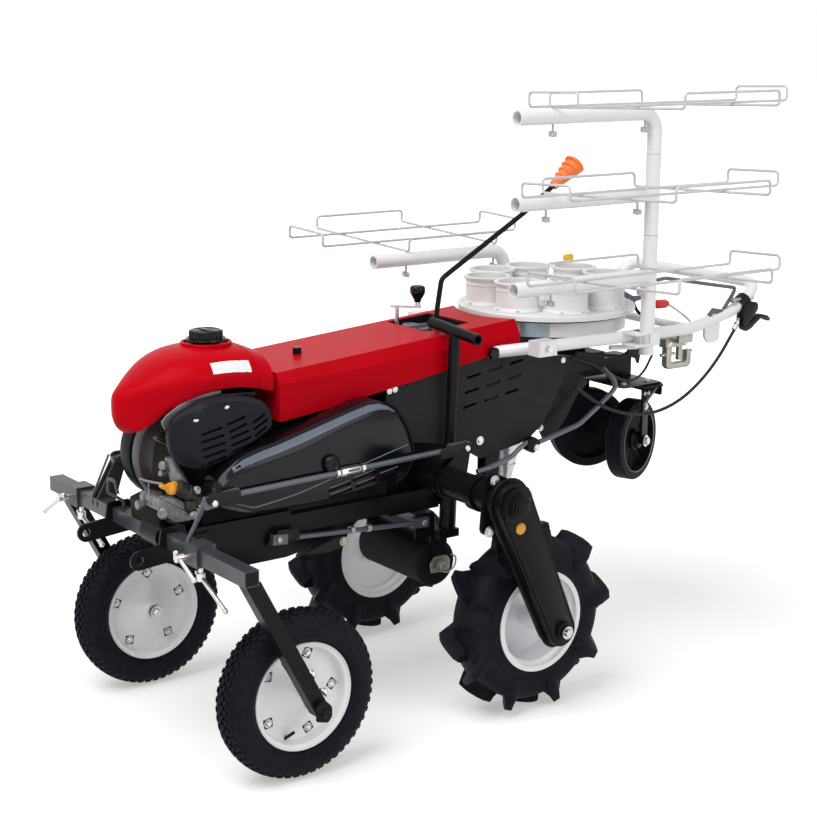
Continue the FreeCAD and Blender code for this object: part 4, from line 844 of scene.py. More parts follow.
carbTube = turned("carburettorBody", [(-40, 0), (-40, 13), (-38, 14.5), (-12, 14.5), (-11, 16.5), (-2, 16.5),
                                      (-1, 15), (14, 15), (15, 18), (19, 18), (20, 15), (32, 14), (34, 12),
                                      (34, 0)], at(100, -114, 565), (-0.1, 0.78, -0.6), 32)
bowl = turned("floatBowl", [(-22, 0), (-22, 5), (-20, 9), (-16, 13), (-12, 14), (4, 14), (4, 0)],
              at(100, -112, 548), "z", 32)
mount = plate("carburettorFlange", [(-104, 562), (-84, 562), (-84, 528), (-104, 532)], "YZ", 92, 112, 2, 4)
place(joined("carburettorCasting", carbTube, bowl, mount), "carburettor", carbBrown, "carburettor")
bits = [bolt("sideNut", at(112, y, z), (0.9, -0.4, 0), 10, 7) for y, z in ((-104, 574), (-96, 533), (-112, 522))]
place(joined("engineNuts", *bits), "engine", zincSteel)

cockHub = turned("fuelCock", [(-7, 0), (-7, 11), (0, 12.4), (6, 12.4), (9, 10.5), (10, 7), (10, 0)],
                 at(*engineSet["cockPlace"]), (0.45, -0.88, 0.1), 28)
cockArm = plate("fuelCockArm", [(-160, 594), (-150, 598), (-143, 592), (-145, 580), (-152, 570), (-163, 571),
                                (-166, 580), (-180, 586), (-186, 592), (-183, 596), (-172, 594)], "YZ", 100,
                108, 2, 2)
place(joined("fuelCock", cockHub, cockArm), "engine", finish("cockOrange", (0.83, 0.32, 0.008), rough=0.34,
          second=(0.88, 0.36, 0.012), patch=40, grain=900, bump=0.1), slotName="grip_orange")
filler = turned("oilFiller", [(-5, 0), (-5, 6), (2, 6), (6, 5), (7, 4), (7, 0)], at(62, -176, 549),
                (0, -0.9, 0.3), 20)
place(filler, "engine", plugYellow)
rod = pipe("governorRod", [(40, -196, 596), (60, -184, 592), (84, -166, 590)], 2.6, 8)
governorLink = pipe("governorLink", [(60, -186, 591), (60, -186, 574), (62, -184, 558)], 1.7, 5)
place(joined("governorRods", rod, governorLink), "engine", castAlloy, slotName="zinc_steel")
hose = pipe("fuelHose", [(66, -156, 566), (72, -170, 548), (86, -176, 530), (98, -166, 512), (96, -140, 502)],
            4.2, 14)
plugLead = pipe("plugLead", [(-20, -128, 660), (10, -142, 668), (46, -136, 662), (72, -112, 650)], 4, 16)
place(joined("engineHoses", hose, plugLead), "engine", knobBlack, slotName="tyre_rubber")
fitting = turned("hoseFitting", [(-14, 0), (-14, 9), (-4, 9), (-3, 12), (10, 12), (14, 8), (14, 0)],
                 at(92, -172, 532), (0.9, -0.4, 0.1), 24)
drainFitting = turned("drainFitting", [(-10, 0), (-10, 7), (0, 7), (1, 10), (8, 10), (8, 0)],
                      at(36, -194, 540), (0, -1, 0), 6)
place(joined("engineFittings", fitting, drainFitting), "engine", castAlloy)
print("engine made")

# tank and cap trim

capSet = dict(middle=(0, -12), foot=862, ridges=26)
capPlace = at(*capSet["middle"], capSet["foot"])
cap = turned("fuelCapCrown", [(-4.6, 0), (-4.6, 41), (-2, 42.5), (1.5, 41), (2.2, 36), (2.2, 33.6), (15.5, 33.4),
                              (17.6, 31.8), (18.6, 28), (17.2, 25), (17.2, 0)], capPlace, "z", 72)
ridge = turned("capRidge", [(2.6, 0), (2.6, 2.2), (15.2, 2.2), (16.6, 1.2), (16.6, 0)],
               capPlace + Vector((0.0334, 0, 0)), "z", 8)
ridges = spinCopies(ridge, capSet["ridges"], capPlace, (0, 0, 1))
capBar = plate("capBar", [(-24, -18), (24, -18), (26, -15), (26, -9), (24, -6), (-24, -6), (-26, -9),
                          (-26, -15)], "XY", 878.4, 881, 1.2)
place(joined("fuelCapCrown", cap, ridges, capBar), "fuel_cap", knobBlack, "fuel_cap")
neckRing = turned("neckRing", [(-14, 48), (-9, 53), (-3, 54), (-1, 52.6), (-0.4, 50), (-1.4, 47.4), (-6, 46),
                               (-14, 46)], at(0, -12, 857), "z", 72)
place(neckRing, "fuel_tank", crimsonPaint)
print("tank trim made")

# bolts, straps and clevises of the frame

hardwareSet = dict(legOut=(0, -0.845, -0.534), linkPin=(-122, 572))


def slanted(name, start, end, out, wide, thick, edge=1.5):
    # a flat strap between two points, its face turned to 'out', its width square to both
    start, end, out = at(*start), at(*end), Vector(out).normalized() * thick * 0.0005
    across = (end - start).normalized().cross(out.normalized()) * wide * 0.0005
    rings = [[spot + across + out, spot - across + out, spot - across - out, spot + across - out]
             for spot in (start, end)]
    made = lofted(name, rings)
    return softened(made, edge) if edge else made


for side, label in ((1, "left"), (-1, "right")):
    leg = "front_leg_" + label
    strap = slanted("legStrap", (side * 373.6, -58, 280), (side * 373.6, 28, 142), (1, 0, 0), 28, 4)
    place(strap, leg, frameBlack)
    heads = [bolt("legBolt", at(side * 368, y, z), hardwareSet["legOut"], 13, 9) for y, z in ((-30, 224), (-8, 180))]
    heads += [bolt("legBolt", at(side * 396, y, z), [-v for v in hardwareSet["legOut"]], 13, 9)
              for y, z in ((-14, 244), (14, 200))]
    place(joined("legBolts", *heads), leg, zincSteel)
    foot = plate("legFoot", [(-12, 148), (16, 140), (26, 152), (26, 172), (14, 186), (-10, 180)], "YZ",
                 side * 408, side * 412, 1, 4)
    stub = bolt("axleNut", at(side * 412, 6, 166), (side, 0, 0), 16, 10)
    place(joined("legFoot", foot, stub), leg, frameBlack)

sleeve = turned("beamSleeve", [(-36, 20), (-36, 25), (-34, 26.5), (34, 26.5), (36, 25), (36, 20)],
                at(57, -165, 480), "x", 40)
place(sleeve, "front_beam", frameBlack)
# dark plates across the beam's open ends: painted shade for the shaded inside of the tube
ends = [plate("beamEndCap", [(-179, 466), (-151, 466), (-151, 494), (-179, 494)], "YZ", x, x + side * 1.6, 0.5, 3)
        for side, x in ((1, 423.6), (-1, -423.6))]
place(joined("beamEndShades", *ends), "front_beam", frameBlack)

pinY, pinZ = hardwareSet["linkPin"]
for side in (1, -1):
    clevis = plate("linkClevis", [(-136, 586), (-127, 592), (-59, 590), (-58, 561), (-116, 563), (-134, 572)],
                   "YZ", side * 206, side * 213, 2, 4)
    rearClevis = plate("linkClevis", [(450, 600), (520, 606), (528, 598), (528, 588), (520, 580), (450, 576)],
                       "YZ", side * 206, side * 213, 2, 4)
    place(joined("linkClevis", clevis, rearClevis), "upper_link_rods", plateBlack)
    pins = [bolt("linkPin", at(side * 214, y, z), (side, 0, 0), 13, 5, False) for y, z in ((pinY, pinZ), (516, 593))]
    pins.append(turned("turnbuckle", [(-24, 6), (-24, 8.5), (-22, 9.6), (22, 9.6), (24, 8.5), (24, 6)],
                       at(side * 200, 214, 586), (0, 1, 0.02), 6))
    pins += [turned("lockNut", [(-4, 5), (-4, 9.6), (4, 9.6), (4, 5)], at(side * 200, y, z), (0, 1, 0.02), 6)
             for y, z in ((182, 585), (246, 587))]
    place(joined("upperLinkPins", *pins), "upper_link_rods", zincSteel)
    stay = pipe("frontStay", [(side * 208, -140, 587), (side * 208, -183, 498)], 2.6)
    place(stay, "upper_link_rods", steelBlue)
    lowClevis = plate("lowClevis", [(70, 448), (78, 462), (130, 457), (132, 434), (79, 432)], "YZ",
                      side * 129, side * 134, 1.5, 4)
    place(lowClevis, "lower_link_rods", plateBlack)
    lows = [bolt("lowPin", at(side * 134.5, 78, 441), (side, 0, 0), 12, 5, False), bolt("lowPin",
                at(side * 134.5, 460, 413), (side, 0, 0), 12, 5, False)]
    lows += [turned("lowNut", [(-5, 5), (-5, 9), (5, 9), (5, 5)], at(side * 128, y, z), (0, 1, -0.07), 6)
             for y, z in ((268, 428.6), (312, 425.4))]
    place(joined("lowerLinkPins", *lows), "lower_link_rods", dullZinc)
    skirt = plate("railSkirt", [(-112, 470), (-69, 431), (8, 390), (112, 390), (165, 398), (232, 424),
                                (232, 450), (-60, 472)], "YZ", side * 102, side * 110, 2, 6)
    guard = plate("railGuard", [(-40, 478), (-40, 530), (380, 530), (380, 478)], "YZ", side * 98, side * 101)
    place(joined("railSkirt", skirt, guard), "main_frame", frameBlack)
hitchPlate = plate("hitchPlate", [(148, 402), (232, 421), (247, 418), (252, 405), (243, 396), (206, 391),
                                  (148, 395)], "YZ", 131, 136, 1, 2)
place(hitchPlate, "main_frame", plateBlack)
hitchBolts = [bolt("hitchBolt", at(136, 241, 409), (1, 0, 0), 12, 5), bolt("railBolt", at(115.4, 590, 462),
                  (1, 0, 0), 11, 5, False)]
place(joined("hitchBolts", *hitchBolts), "main_frame", dullZinc)

# chain cases

caseSet = dict(inner=386, width=44, axle=(478, 520), wheel=(618, 213), plug=(489, 468))


def ovalLoop(top, topRadius, low, lowRadius, steps=14):
    top, low = Vector(top), Vector(low)
    run = low - top
    tilt = math.atan2(run.y, run.x)
    lean = math.acos((topRadius - lowRadius) / run.length)
    loop = []
    for middle, radius, start, end in ((low, lowRadius, tilt - lean, tilt + lean),
                                       (top, topRadius, tilt + lean, tilt + math.tau - lean)):
        for step in range(steps + 1):
            turn = start + (end - start) * step / steps
            loop.append(middle + Vector((math.cos(turn), math.sin(turn))) * radius)
    return loop


for side, label in ((1, "left"), (-1, "right")):
    node = "chain_case_" + label
    face = caseSet["inner"] + caseSet["width"]
    outline = ovalLoop(caseSet["axle"], 41, caseSet["wheel"], 31)
    rim = lofted("casePanel", [[at(side * x, *(middle + (p - middle) * grow)) for p in outline
                                for middle in (Vector((548, 366)),)] for x, grow in ((face - 1, 0.985),
                                   (face + 2, 0.98), (face + 3.2, 0.965))])
    place(rim, node, frameBlack)
    seam = pipe("caseSeam", [(side * (face - 22), p.x, p.y) for p in ovalLoop(caseSet["axle"], 52.4,
                                 caseSet["wheel"], 42.4)], 2.2, 0, True)
    place(seam, node, frameBlack)
    topHub = turned("caseTopHub", [(0, 0), (0, 33), (6, 33), (8, 31), (8, 27), (18, 26), (20, 24), (20, 18), (26, 17),
                                   (27, 15), (27, 0)], at(side * (face + 2), *caseSet["axle"]), (side, 0, 0), 40)
    lowHub = turned("caseLowHub", [(0, 0), (0, 22), (8, 21), (9, 19), (9, 15), (15, 14), (15, 0)],
                    at(side * (face + 2), *caseSet["wheel"]), (side, 0, 0), 32)
    place(joined("caseHubs", topHub, lowHub), node, frameBlack)
    nut = bolt("caseNut", at(side * (face + 17), *caseSet["wheel"]), (side, 0, 0), 17, 9)
    heads = [bolt("flangeBolt", at(side * (caseSet["inner"] + 7), caseSet["axle"][0] + r * math.cos(a),
                                   caseSet["axle"][1] + r * math.sin(a)), (side, 0, 0), 15, 7)
             for a, r in ((math.radians(4), 64), (math.radians(120), 56), (math.radians(236), 72))]
    place(joined("caseBolts", nut, *heads), node, zincSteel)
    yellow = turned("casePlug", [(0, 0), (0, 13), (3, 13), (5, 11.5), (6, 8), (6.6, 0)],
                    at(side * (face + 2), *caseSet["plug"]), (side, 0, 0), 28)
    place(yellow, node, plugYellow)

# gauge roller's end

rollerEnd = turned("rollerCap", [(0, 0), (0, 44), (2, 47), (4, 46), (4, 18), (10, 17), (10, 0)],
                   at(115, 508, 305), "x", 40)
place(rollerEnd, "gauge_roller", rollerFoam)
hanger = plate("rollerHanger", [(484, 288), (532, 288), (536, 296), (536, 316), (524, 326), (492, 326),
                                (480, 312)], "YZ", 128.5, 133, 1.2, 3)
pinHead = bolt("rollerPin", at(140, 508, 305), (1, 0, 0), 18, 8)
clipRing = pipe("rollerClip", [(146, 498, 296), (146, 520, 288), (146, 540, 300), (146, 544, 322),
                               (146, 528, 330)], 2, 8)
place(joined("rollerHanger", hanger, pinHead, clipRing), "roller_yoke", dullZinc)
print("hardware made")

# bonnet, panel and side plates

bonnetSet = dict(knobPlace=(653, 777), topKnob=(4, 210))
sideKnob = turned("bonnetKnob", [(0, 0), (0, 8), (3, 9), (5, 14), (14, 14), (16, 12), (17, 0)],
                  at(125, *bonnetSet["knobPlace"]), "x", 28)
topKnob = turned("bonnetStud", [(-2, 0), (-2, 9.5), (14, 9.5), (15.5, 8), (15.5, 0)],
                 at(*bonnetSet["topKnob"], 804), "z", 28)
place(joined("bonnetKnobs", sideKnob, topKnob), "bonnet", knobBlack)
crankKnob = turned("crankKnob", [(-20, 0), (-20, 7.5), (-15, 8.5), (-6, 14), (1, 17.4), (4, 18), (5, 17.4),
                                 (6, 18), (13, 17.8), (17, 15), (18.5, 9), (18.5, 0)], at(-44, 570, 898), "z",
                   36)
place(crankKnob, "crank_handle", knobBlack)
gate = plate("panelGate", [(-92, 524), (58, 524), (58, 636), (-92, 636)], "XY", 815, 818, 1, 6)
slots = [plate("panelSlot", [(-58 + dx, 548), (-46 + dx, 548), (-46 + dx, 622), (-58 + dx, 622)], "XY", 817,
               823.5, 1.5, 4) for dx in (0, 46, 92)]
dial = turned("panelDial", [(0, 8), (0, 20), (3, 20), (5, 18), (5, 10), (3, 8)], at(-66, 566, 819), "z", 32)
place(joined("panelGate", gate, *slots), "control_panel", steelBlue, slotName="shroud_plastic")
place(dial, "control_panel", castAlloy, slotName="shroud_plastic")
leverBoot = turned("leverBoot", [(-4, 6.5), (-4, 17), (2, 15), (6, 11), (9, 9.5), (14, 8.5), (15, 6.5)],
                   at(0, 587, 822), "z", 28)
place(leverBoot, "control_panel", knobBlack, slotName="tyre_rubber")
ridges = [turned("gripRidge", [(-2, 11), (-2, r), (0, r + 1.2), (2, r), (2, 11)],
                 at(0, 935 + 85 * t * 0.826, 1128 + 58 * t), (0, 0.826, 0.564), 28) for t, r in ((0.12, 12.8),
              (0.3, 15.2), (0.48, 17.5), (0.66, 19.9), (0.84, 22))]
place(joined("gripRidges", *ridges), "lever_grip", gripOrange)

for side, label in ((1, "left"), (-1, "right")):
    node = "side_plate_" + label
    # a thin bead along the side plate's top edge, coloured paler than the plate: a painted highlight on the bent
    # flange
    lip = pipe("plateEdgeHighlight", [(side * 119, 366, 731), (side * 119, 556, 763), (side * 119, 683, 779),
                            (side * 119, 899, 741)], 1.6, 8)
    place(lip, node, steelBlue)
    heads = [bolt("plateBolt", at(side * 118.5, y, z), (side, 0, 0), 8, 3)
             for y, z in ((374, 722), (389, 724), (875, 734))]
    place(joined("plateBolts", *heads), node, zincSteel)
inner = [plate("innerShield", [(90, 560), (90, 704), (200, 706), (500, 748), (560, 756), (560, 560)], "YZ", x,
               x + 3) for x in (72, -75)]
place(joined("innerShields", *inner), "main_frame", engineDark, slotName="frame_paint")

# turntable

tableSet = dict(middle=(0, 921), plateTop=853, cups=8, cupRing=148, lipTop=920)
tableMiddle = at(*tableSet["middle"], 0)
first = math.radians(22.5)
cupSpot = at(*tableSet["middle"], 0) + Vector((math.cos(first), math.sin(first), 0)) * tableSet["cupRing"] * 0.001
lip = turned("cupLip", [(-9, 50.4), (-7, 53), (-4, 55.6), (-1, 56.4), (1, 55.6), (1.6, 53), (0.8, 47),
                        (-2, 46.4), (-2, 50.4)], cupSpot + Vector((0, 0, tableSet["lipTop"] * 0.001)), "z",
             40)
neck = turned("cupNeck", [(-2, 50.2), (-1, 51.6), (1, 51.6), (2, 50.2)], cupSpot + Vector((0, 0, 0.902)), "z", 40)
foot = turned("cupFoot", [(0, 50.2), (0, 55.8), (2.6, 55.8), (4.4, 53.6), (8, 51.4), (10, 50.2)],
              cupSpot + Vector((0, 0, tableSet["plateTop"] * 0.001 + 0.0003)), "z", 40)
outward = Vector((math.cos(first), math.sin(first), 0))
sideways = Vector((-outward.y, outward.x, 0))
lugs = []
for lean in (-0.5, 0.5):
    spot = cupSpot + (outward * math.cos(lean) + sideways * math.sin(lean)) * 0.0535 + Vector((0, 0, 0.8533))
    lugs.append(turned("cupLug", [(0, 0), (0, 8), (2.6, 8), (3.2, 7), (3.2, 0)], spot, "z", 20))
cupTrim = spinCopies(joined("cupTrim", lip, neck, foot, *lugs), tableSet["cups"], tableMiddle, (0, 0, 1))
place(cupTrim, "carousel", cupWhite)
studs = []
for lean in (-0.5, 0.5):
    spot = cupSpot + (outward * math.cos(lean) + sideways * math.sin(lean)) * 0.0535 + Vector((0, 0, 0.8565))
    studs.append(turned("cupScrew", [(0, 0), (0, 4), (1.6, 3.6), (2.6, 2), (2.6, 0)], spot, "z", 12))
cupScrews = spinCopies(joined("cupScrews", *studs), tableSet["cups"], tableMiddle, (0, 0, 1))
place(cupScrews, "carousel", dullZinc)
seal = turned("tableSeal", [(835, 190.4), (835, 203), (838.8, 203), (838.8, 190.4)], tableMiddle, "z", 96)
place(seal, "carousel_base", frameBlack, slotName="tyre_rubber")
strips = []
for step in range(9):
    bearing = math.radians(-58 + 20 * step / 8)
    away = Vector((math.cos(bearing), math.sin(bearing), 0))
    strips.append([tableMiddle + away * r * 0.001 + Vector((0, 0, z * 0.001)) for r, z in
                   ((190.2, 801), (191.6, 801), (191.6, 832), (190.2, 832))])
place(lofted("basePlate", strips), "carousel_base", labelPlate)
gateShape = [(1090, 884), (1112, 884), (1118, 892), (1104, 896), (1100, 906), (1118, 911), (1119, 934),
             (1114, 938), (1092, 938), (1089, 934), (1092, 910), (1086, 900)]
yellow = plate("yellowGate", gateShape, "YZ", -134, -126, 1.2)
place(yellow, "carousel_base", gateYellow)
gateStay = pipe("gateStay", [(-130, 1102, 890), (-130, 1102, 858), (-126, 1112, 836), (-104, 1080, 822)], 4, 8)
place(gateStay, "carousel_base", whiteEnamel)
print("turntable dressed")

# handlebar fittings

heads = [bolt("boxBolt", at(side * 246, 720, 797), (side, 0, 0), 15, 7) for side in (1, -1)]
place(joined("boxBolts", *heads), "handlebar", zincSteel)
for side in (1, -1):
    x = side * 262
    collar = turned("postCollar", [(-5, 14), (-5, 19.4), (5, 19.4), (5, 14)], at(x, 1004, 812), "z", 32)
    foot = turned("postFoot", [(-1, 0), (-1, 17.4), (1, 18), (3, 17.4), (3, 0)], at(x, 1004, 758.5), "z", 32)
    place(joined("postTrim", collar, foot), "tray_posts", whiteEnamel)
    jaw = [plate("postJaw", [(x - side * 26, front), (x + side * 21, front), (x + side * 21, back),
                             (x - side * 26, back)], "XY", low, high, 1.4)
           for front, back, low, high in ((950, 1000, 807, 812), (950, 1000, 780, 785),
                                          (996, 1026, 780, 812))]
    place(joined("postJaw", *jaw), "tray_posts", whiteEnamel)
latch = plate("swingLatch", [(1133, 756), (1133, 703), (1143, 694), (1205, 694), (1215, 703), (1215, 729),
                             (1220, 731), (1219, 736), (1201, 735), (1201, 712), (1198, 708), (1152, 708),
                             (1150, 712), (1150, 756)], "YZ", 182, 200, 1.5)
tongue = plate("latchTongue", [(1175, 752), (1175, 713), (1187, 713), (1187, 752)], "YZ", 186, 197, 1.5)
head = plate("latchHead", [(1126, 748), (1194, 748), (1200, 756), (1200, 770), (1126, 770)], "YZ", 178, 204, 2)
arm = plate("latchArm", [(186, 762), (232, 762), (232, 784), (222, 784), (222, 772), (186, 772)], "XZ", 1140,
            1186, 1.5)
place(joined("swingLatch", latch, tongue, head, arm), "handlebar", dullZinc)
pins = [bolt("latchPin", at(204, y, z), (1, 0, 0), 9, 5) for y, z in ((1136, 759), (1190, 759))]
pins += [turned("latchRod", [(0, 0), (0, 4), (44, 4), (46, 3), (46, 0)], at(192, 1120, 730), (0, 1, 0), 16)]
place(joined("latchPins", *pins), "handlebar", zincSteel)
rod = pipe("stayRod", [(180, 1111, 911), (184, 1135, 914), (206, 1250, 893), (228, 1328, 880),
                       (228, 1322, 868), (229, 1288, 830)], 4.6, 7)
pad = plate("stayPad", [(1243, 812), (1233, 817), (1255, 837), (1280, 832), (1288, 826), (1262, 810)], "YZ",
            222, 236, 2)
place(joined("stayRod", rod, pad), "handlebar", steelBlue, slotName="shroud_plastic")
padScrew = bolt("padScrew", at(236, 1248, 818), (1, 0, 0), 8, 4)
place(padScrew, "handlebar", zincSteel)
crossPipe = pipe("crossPipe", [(-214, 1180, 795), (214, 1180, 795)], 10)
place(crossPipe, "handlebar", whiteEnamel)
redLever = turned("redGrip", [(-20, 0), (-20, 9.5), (-16, 10.8), (10, 10.4), (19, 6), (21, 4), (21, 0)],
                  at(180, 1130, 852), (0, 1, -0.04), 28)
place(redLever, "handlebar", redGrip)
redRod = pipe("redRod", [(180, 1150, 849), (180, 1172, 838), (190, 1208, 811), (200, 1212, 800)], 3, 10)
place(redRod, "handlebar", zincSteel)
catchPlate = plate("catchPlate", [(1080, 878), (1080, 861), (1110, 846), (1142, 851), (1142, 861),
                                  (1112, 862)], "YZ", 96, 101, 0.8)
place(catchPlate, "handlebar", steelBlue)
catchStay = pipe("catchStay", [(98, 1112, 850), (98, 1130, 820), (98, 1180, 797)], 4, 10)
place(catchStay, "handlebar", frameBlack)

blade = plate("leverBlade", [(1336, 812), (1334, 788), (1340, 778), (1352, 773), (1368, 778), (1386, 791),
                             (1402, 801), (1424, 792), (1434, 791), (1434, 799), (1424, 806), (1404, 811),
                             (1388, 812), (1374, 803), (1360, 794), (1350, 798), (1350, 812)], "YZ", 234, 250,
              2.4)
body = plate("leverBody", [(1337, 837), (1356, 846), (1380, 844), (1386, 828), (1372, 812), (1358, 800), (1346, 788),
                           (1334, 782), (1334, 810)], "YZ", 230, 254, 4, 7)
collar = turned("leverCollar", [(-14, 15.2), (-14, 19), (-12, 20.6), (12, 20.6), (14, 19), (14, 15.2)],
                at(228, 1352, 842), (0, 0.86, 0.5), 36)
place(joined("leverBlade", blade, body, collar), "clutch_lever", knobBlack, "clutch_lever")
clampBolts = [bolt("clampBolt", at(236, y, z), (1, 0, 0), 9, 5) for y, z in ((1314, 851), (1372, 852))]
clampRod = turned("clampRod", [(0, 0), (0, 5.5), (8, 5.5), (9, 4), (62, 4), (64, 6), (72, 6), (72, 0)],
                  at(236, 1308, 851), (0, 1, 0.02), 16)
place(joined("clampBolts", clampRod, *clampBolts), "clutch_lever", dullZinc)
down = Vector((0, -0.72, -0.69))
ferrule = turned("cableFerrule", [(-2, 4.2), (-2, 5), (8, 5), (8, 8), (13, 8), (13, 5.4), (22, 5.4), (22, 8),
                                  (26, 8), (27, 5.2), (40, 4.8), (40, 4.2)], at(236, 1347, 808), down, 16)
place(ferrule, "clutch_lever", zincSteel)
print("handlebar dressed")

# press wheels, their frame and the rods below the handlebar

pressSet = dict(wheel=(80, 1140, 500), toe=20)
for side, label in ((1, "left"), (-1, "right")):
    out = Vector((side * math.cos(math.radians(pressSet["toe"])), math.sin(math.radians(pressSet["toe"])), 0))
    hub = at(side * pressSet["wheel"][0], *pressSet["wheel"][1:])
    node = "press_wheel_" + label
    disc = turned("pressDisc", [(6, 18), (6, 77), (12, 77.6), (20, 78), (22.4, 80), (23, 84), (22.4, 88),
                                (20, 90), (12, 92), (5.6, 92), (5.6, 18)], hub, out, 56)
    place(disc, node, tyreRubber)
    ring = turned("pressRing", [(22.6, 79.4), (23.6, 80.2), (23.4, 81.2), (22.4, 81)], hub, out, 56)
    place(ring, node, shieldShade, slotName="tyre_rubber")
    cap = turned("pressHub", [(10, 0), (10, 26), (14, 26), (17, 22), (24, 20), (26, 17), (26, 0)], hub, out, 32)
    place(cap, node, frameBlack)
    heads = [bolt("pressBolt", hub + out * 0.040, out, 17, 9)]
    heads += [bolt("pressBolt", hub + out * 0.0372 + Vector((0, dy, dz)), out, 10, 5)
              for dy, dz in ((0, 0.086), (0.008, 0.12), (-0.008, 0.12))]
    place(joined("pressBolts", *heads), "press_frame", zincSteel)
    strutBar = slanted("pressStrut", mm(hub + out * 0.038 + Vector((0, -0.012, 0.09))),
                       mm(hub + out * 0.044 + Vector((0, 0.026, 0.132))), tuple(out), 9, 6)
    place(strutBar, "press_frame", steelBlue)
tray = plate("pressTray", [(-128, 1062), (128, 1062), (128, 1194), (-128, 1194)], "XY", 643, 646, 1, 14)
skirt = plate("pressSkirt", [(-128, 612), (128, 612), (128, 645), (-128, 645)], "XZ", 1190, 1194, 1.2, 6)
place(joined("pressTray", tray, skirt), "press_frame", frameBlack)
heads = [bolt("trayBolt", at(x, 1194, 628), (0, 1, 0), 11, 5) for x in (-106, -60, 60, 106)]
heads += [bolt("trayBolt", at(x, y, 646), (0, 0, 1), 11, 5) for x in (-100, 100) for y in (1090, 1168)]
place(joined("trayBolts", *heads), "press_frame", zincSteel)
bent = pipe("bentTube", [(150, 762, 553), (150, 816, 564), (150, 903, 582), (150, 962, 618), (150, 1010, 650),
                         (150, 1019, 663), (146, 1012, 678), (120, 1000, 700)], 6, 12)
lowBent = pipe("lowTube", [(150, 748, 562), (150, 733, 557), (150, 699, 534), (150, 630, 517), (146, 600, 512)], 6, 8)
place(joined("bentTube", bent, lowBent), "main_frame", steelBlue)
clip = plate("tubeClip", [(738, 545), (744, 570), (758, 574), (778, 562), (774, 540), (756, 534)], "YZ", 138,
             158, 2, 4)
place(clip, "main_frame", frameBlack)
clipBolts = [bolt("clipBolt", at(158, 766, 546), (1, 0, 0), 10, 4), bolt("clipBolt", at(118.5, 629, 575),
                 (1, 0, 0), 12, 5), bolt("clipBolt", at(104, 822, 576), (1, 0, 0), 10, 5)]
place(joined("clipBolts", *clipBolts), "main_frame", zincSteel)
infill = plate("planterShield", [(880, 725), (915, 725), (975, 664), (941, 640), (905, 585), (868, 545),
                                 (836, 545), (822, 570), (820, 640)], "YZ", 96, 99, 0.8, 5)
place(infill, "main_frame", frameBlack)
lowRod = pipe("lowRod", [(160, 878, 757), (172, 1013, 736), (172, 1040, 748)], 4.5, 8)
lowPlate = plate("lowPlate", [(1024, 764), (1066, 764), (1066, 742), (1062, 716), (1056, 716), (1050, 728),
                              (1024, 738)], "YZ", 176, 180, 0.8)
whiteRod = pipe("whiteRod", [(196, 950, 768), (200, 1034, 762)], 6)
place(joined("lowRod", lowRod, lowPlate), "handlebar", plateBlack)
place(softened(whiteRod, 4, 3), "handlebar", whiteEnamel)
thinCable = pipe("thinCable", [(134, 1150, 720), (130, 1146, 708), (130, 1134, 687), (130, 1112, 668),
                               (130, 1085, 661), (130, 1052, 667), (130, 1029, 680), (126, 960, 716),
                               (122, 896, 739)], 3, 12)
place(thinCable, "main_frame", cableSheath)
beakRings = [turned("beakBand", [(-3, r - 6), (-3, r + 1.2), (3, r + 2.4), (3, r - 6)], at(0, 800, z), "z",
                    40) for z, r in ((592, 56), (470, 27))]
place(joined("beakBands", *beakRings), "planting_beak", zincSteel)
print("rear dressed")

# finishes of the frame's own nodes

nodeFinish = {}
for coating, nodeNames in (
    (frameBlack, "front_leg_left front_leg_right main_frame beam_brackets axle_housing chain_case_left chain_case_right "
                 "roller_yoke height_post shift_lever planter_case press_frame"),
    # the beam takes the paler black that carries its painted sheen
    (beamLitBlack, "front_beam"),
    (zincSteel, "clamp_screws crank_handle planting_beak"),
    (engineDark, "transmission_case engine"),
    (shroudPlastic, "fan_housing muffler_cover control_panel"),
    (castAlloy, "carburettor"),
    (crimsonPaint, "fuel_tank bonnet"),
    (knobBlack, "fuel_cap clutch_lever"),
    (coverBlack, "belt_cover"),
    (plateBlack, "side_plate_left side_plate_right"),
    (steelBlue, "upper_link_rods lower_link_rods"),
    (rollerFoam, "gauge_roller"),
    (gripOrange, "lever_grip"),
    (cupWhite, "carousel_base carousel"),
    (whiteEnamel, "handlebar tray_posts"),
    (tyreRubber, "press_wheel_left press_wheel_right front_tyre_left front_tyre_right "
                 "drive_tyre_left drive_tyre_right"),
    (wheelWhite, "front_rim_left front_rim_right drive_rim_left drive_rim_right"),
    (cableSheath, "clutch_cable"),
):
    nodeFinish.update(dict.fromkeys(nodeNames.split(), coating))
for name, node in frame["nodes"].items():
    coating = nodeFinish.get(name, wireGrey if "rack" in name else whiteEnamel)       # the tray arms are white
    node.data.materials.clear()
    node.data.materials.append(coating)
print("nodes coated")

# floor, light and background

stageSet = dict(floorHalf=30.0, keyPower=135, fillPower=50, worldStrength=0.42, nearGlow=0.36, farGlow=1.0)

clearPick()
bpy.ops.mesh.primitive_plane_add(size=stageSet["floorHalf"] * 2, location=(0, 0, 0))
floor = bpy.context.object
floor.name = "studioFloor"
floorPaint = bpy.data.materials.new("paleFloor")
floorPaint.use_nodes = True
floorTree = floorPaint.node_tree
floorShader = floorTree.nodes["Principled BSDF"]
floorShader.inputs["Base Color"].default_value = (0.86, 0.86, 0.87, 1)
floorShader.inputs["Roughness"].default_value = 0.9
floorShader.inputs["Specular IOR Level"].default_value = 0.1
floorPlace = floorTree.nodes.new("ShaderNodeTexCoord")
distance = floorTree.nodes.new("ShaderNodeVectorMath")
distance.operation = "LENGTH"
floorTree.links.new(floorPlace.outputs["Object"], distance.inputs[0])
glow = floorTree.nodes.new("ShaderNodeMapRange")
glow.inputs["From Min"].default_value = 0.9
glow.inputs["From Max"].default_value = 3.4
glow.inputs["To Min"].default_value = stageSet["nearGlow"]
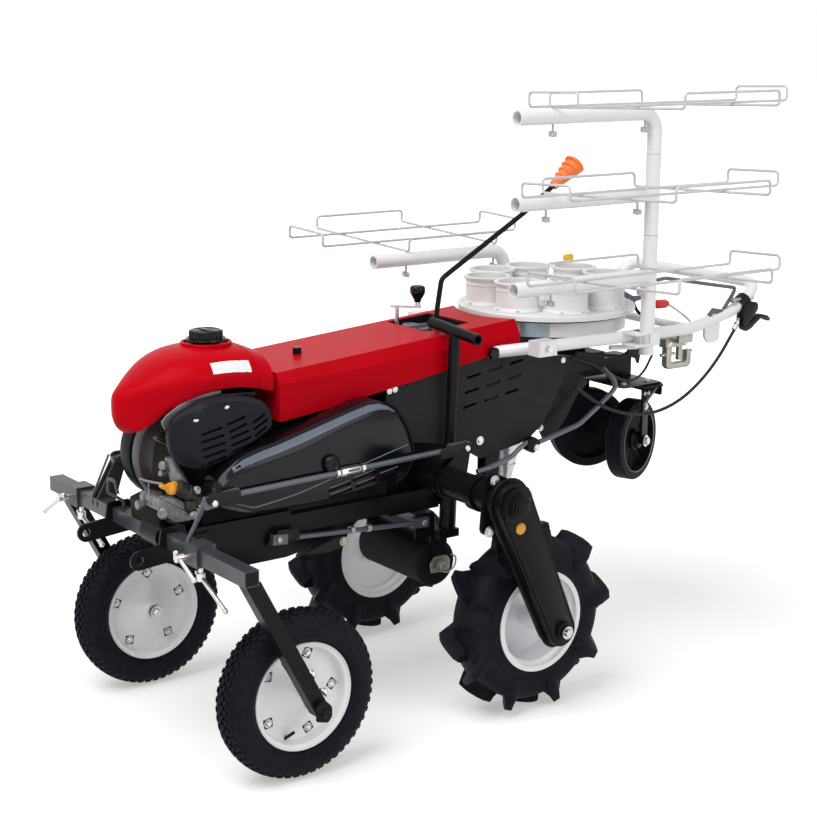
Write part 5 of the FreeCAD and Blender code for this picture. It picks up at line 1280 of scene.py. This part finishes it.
glow.inputs["To Max"].default_value = stageSet["farGlow"]
floorTree.links.new(distance.outputs["Value"], glow.inputs["Value"])


def paleRays(tree):
    # 1 where the background is looked at, straight, in a reflection or through glass
    seen = tree.nodes.new("ShaderNodeLightPath")
    level = seen.outputs["Is Camera Ray"]
    for kind in ("Is Glossy Ray", "Is Transmission Ray"):
        wider = tree.nodes.new("ShaderNodeMath")
        wider.operation = "MAXIMUM"
        tree.links.new(level, wider.inputs[0])
        tree.links.new(seen.outputs[kind], wider.inputs[1])
        level = wider.outputs[0]
    return level


shown = floorTree.nodes.new("ShaderNodeMath")
shown.operation = "MULTIPLY"
floorTree.links.new(glow.outputs["Result"], shown.inputs[0])
floorTree.links.new(paleRays(floorTree), shown.inputs[1])
floorShader.inputs["Emission Color"].default_value = (1, 1, 1, 1)
floorTree.links.new(shown.outputs[0], floorShader.inputs["Emission Strength"])
floor.data.materials.append(floorPaint)

world = bpy.data.worlds.new("studioWorld")
bpy.context.scene.world = world
world.use_nodes = True
worldTree = world.node_tree
backdrop = worldTree.nodes["Background"]
backdrop.inputs["Color"].default_value = (1, 1, 1, 1)
level = worldTree.nodes.new("ShaderNodeMapRange")
level.inputs["To Min"].default_value = stageSet["worldStrength"]
worldTree.links.new(paleRays(worldTree), level.inputs["Value"])
worldTree.links.new(level.outputs["Result"], backdrop.inputs["Strength"])


def softLamp(name, spot, aim, size, power):
    lampData = bpy.data.lights.new(name, "AREA")
    lampData.shape = "RECTANGLE"
    lampData.size, lampData.size_y = size
    lampData.energy = power
    lamp = bpy.data.objects.new(name, lampData)
    lamp.location = spot
    lamp.rotation_euler = (Vector(aim) - Vector(spot)).to_track_quat("-Z", "Y").to_euler()
    bpy.context.scene.collection.objects.link(lamp)


softLamp("keyLamp", (0.6, -2.4, 4.2), (0, 0, 0.5), (3.0, 3.0), stageSet["keyPower"])
softLamp("sideLamp", (4.4, 0.8, 2.6), (0, 0, 0.5), (2.5, 2.5), stageSet["fillPower"])
print("stage ready")
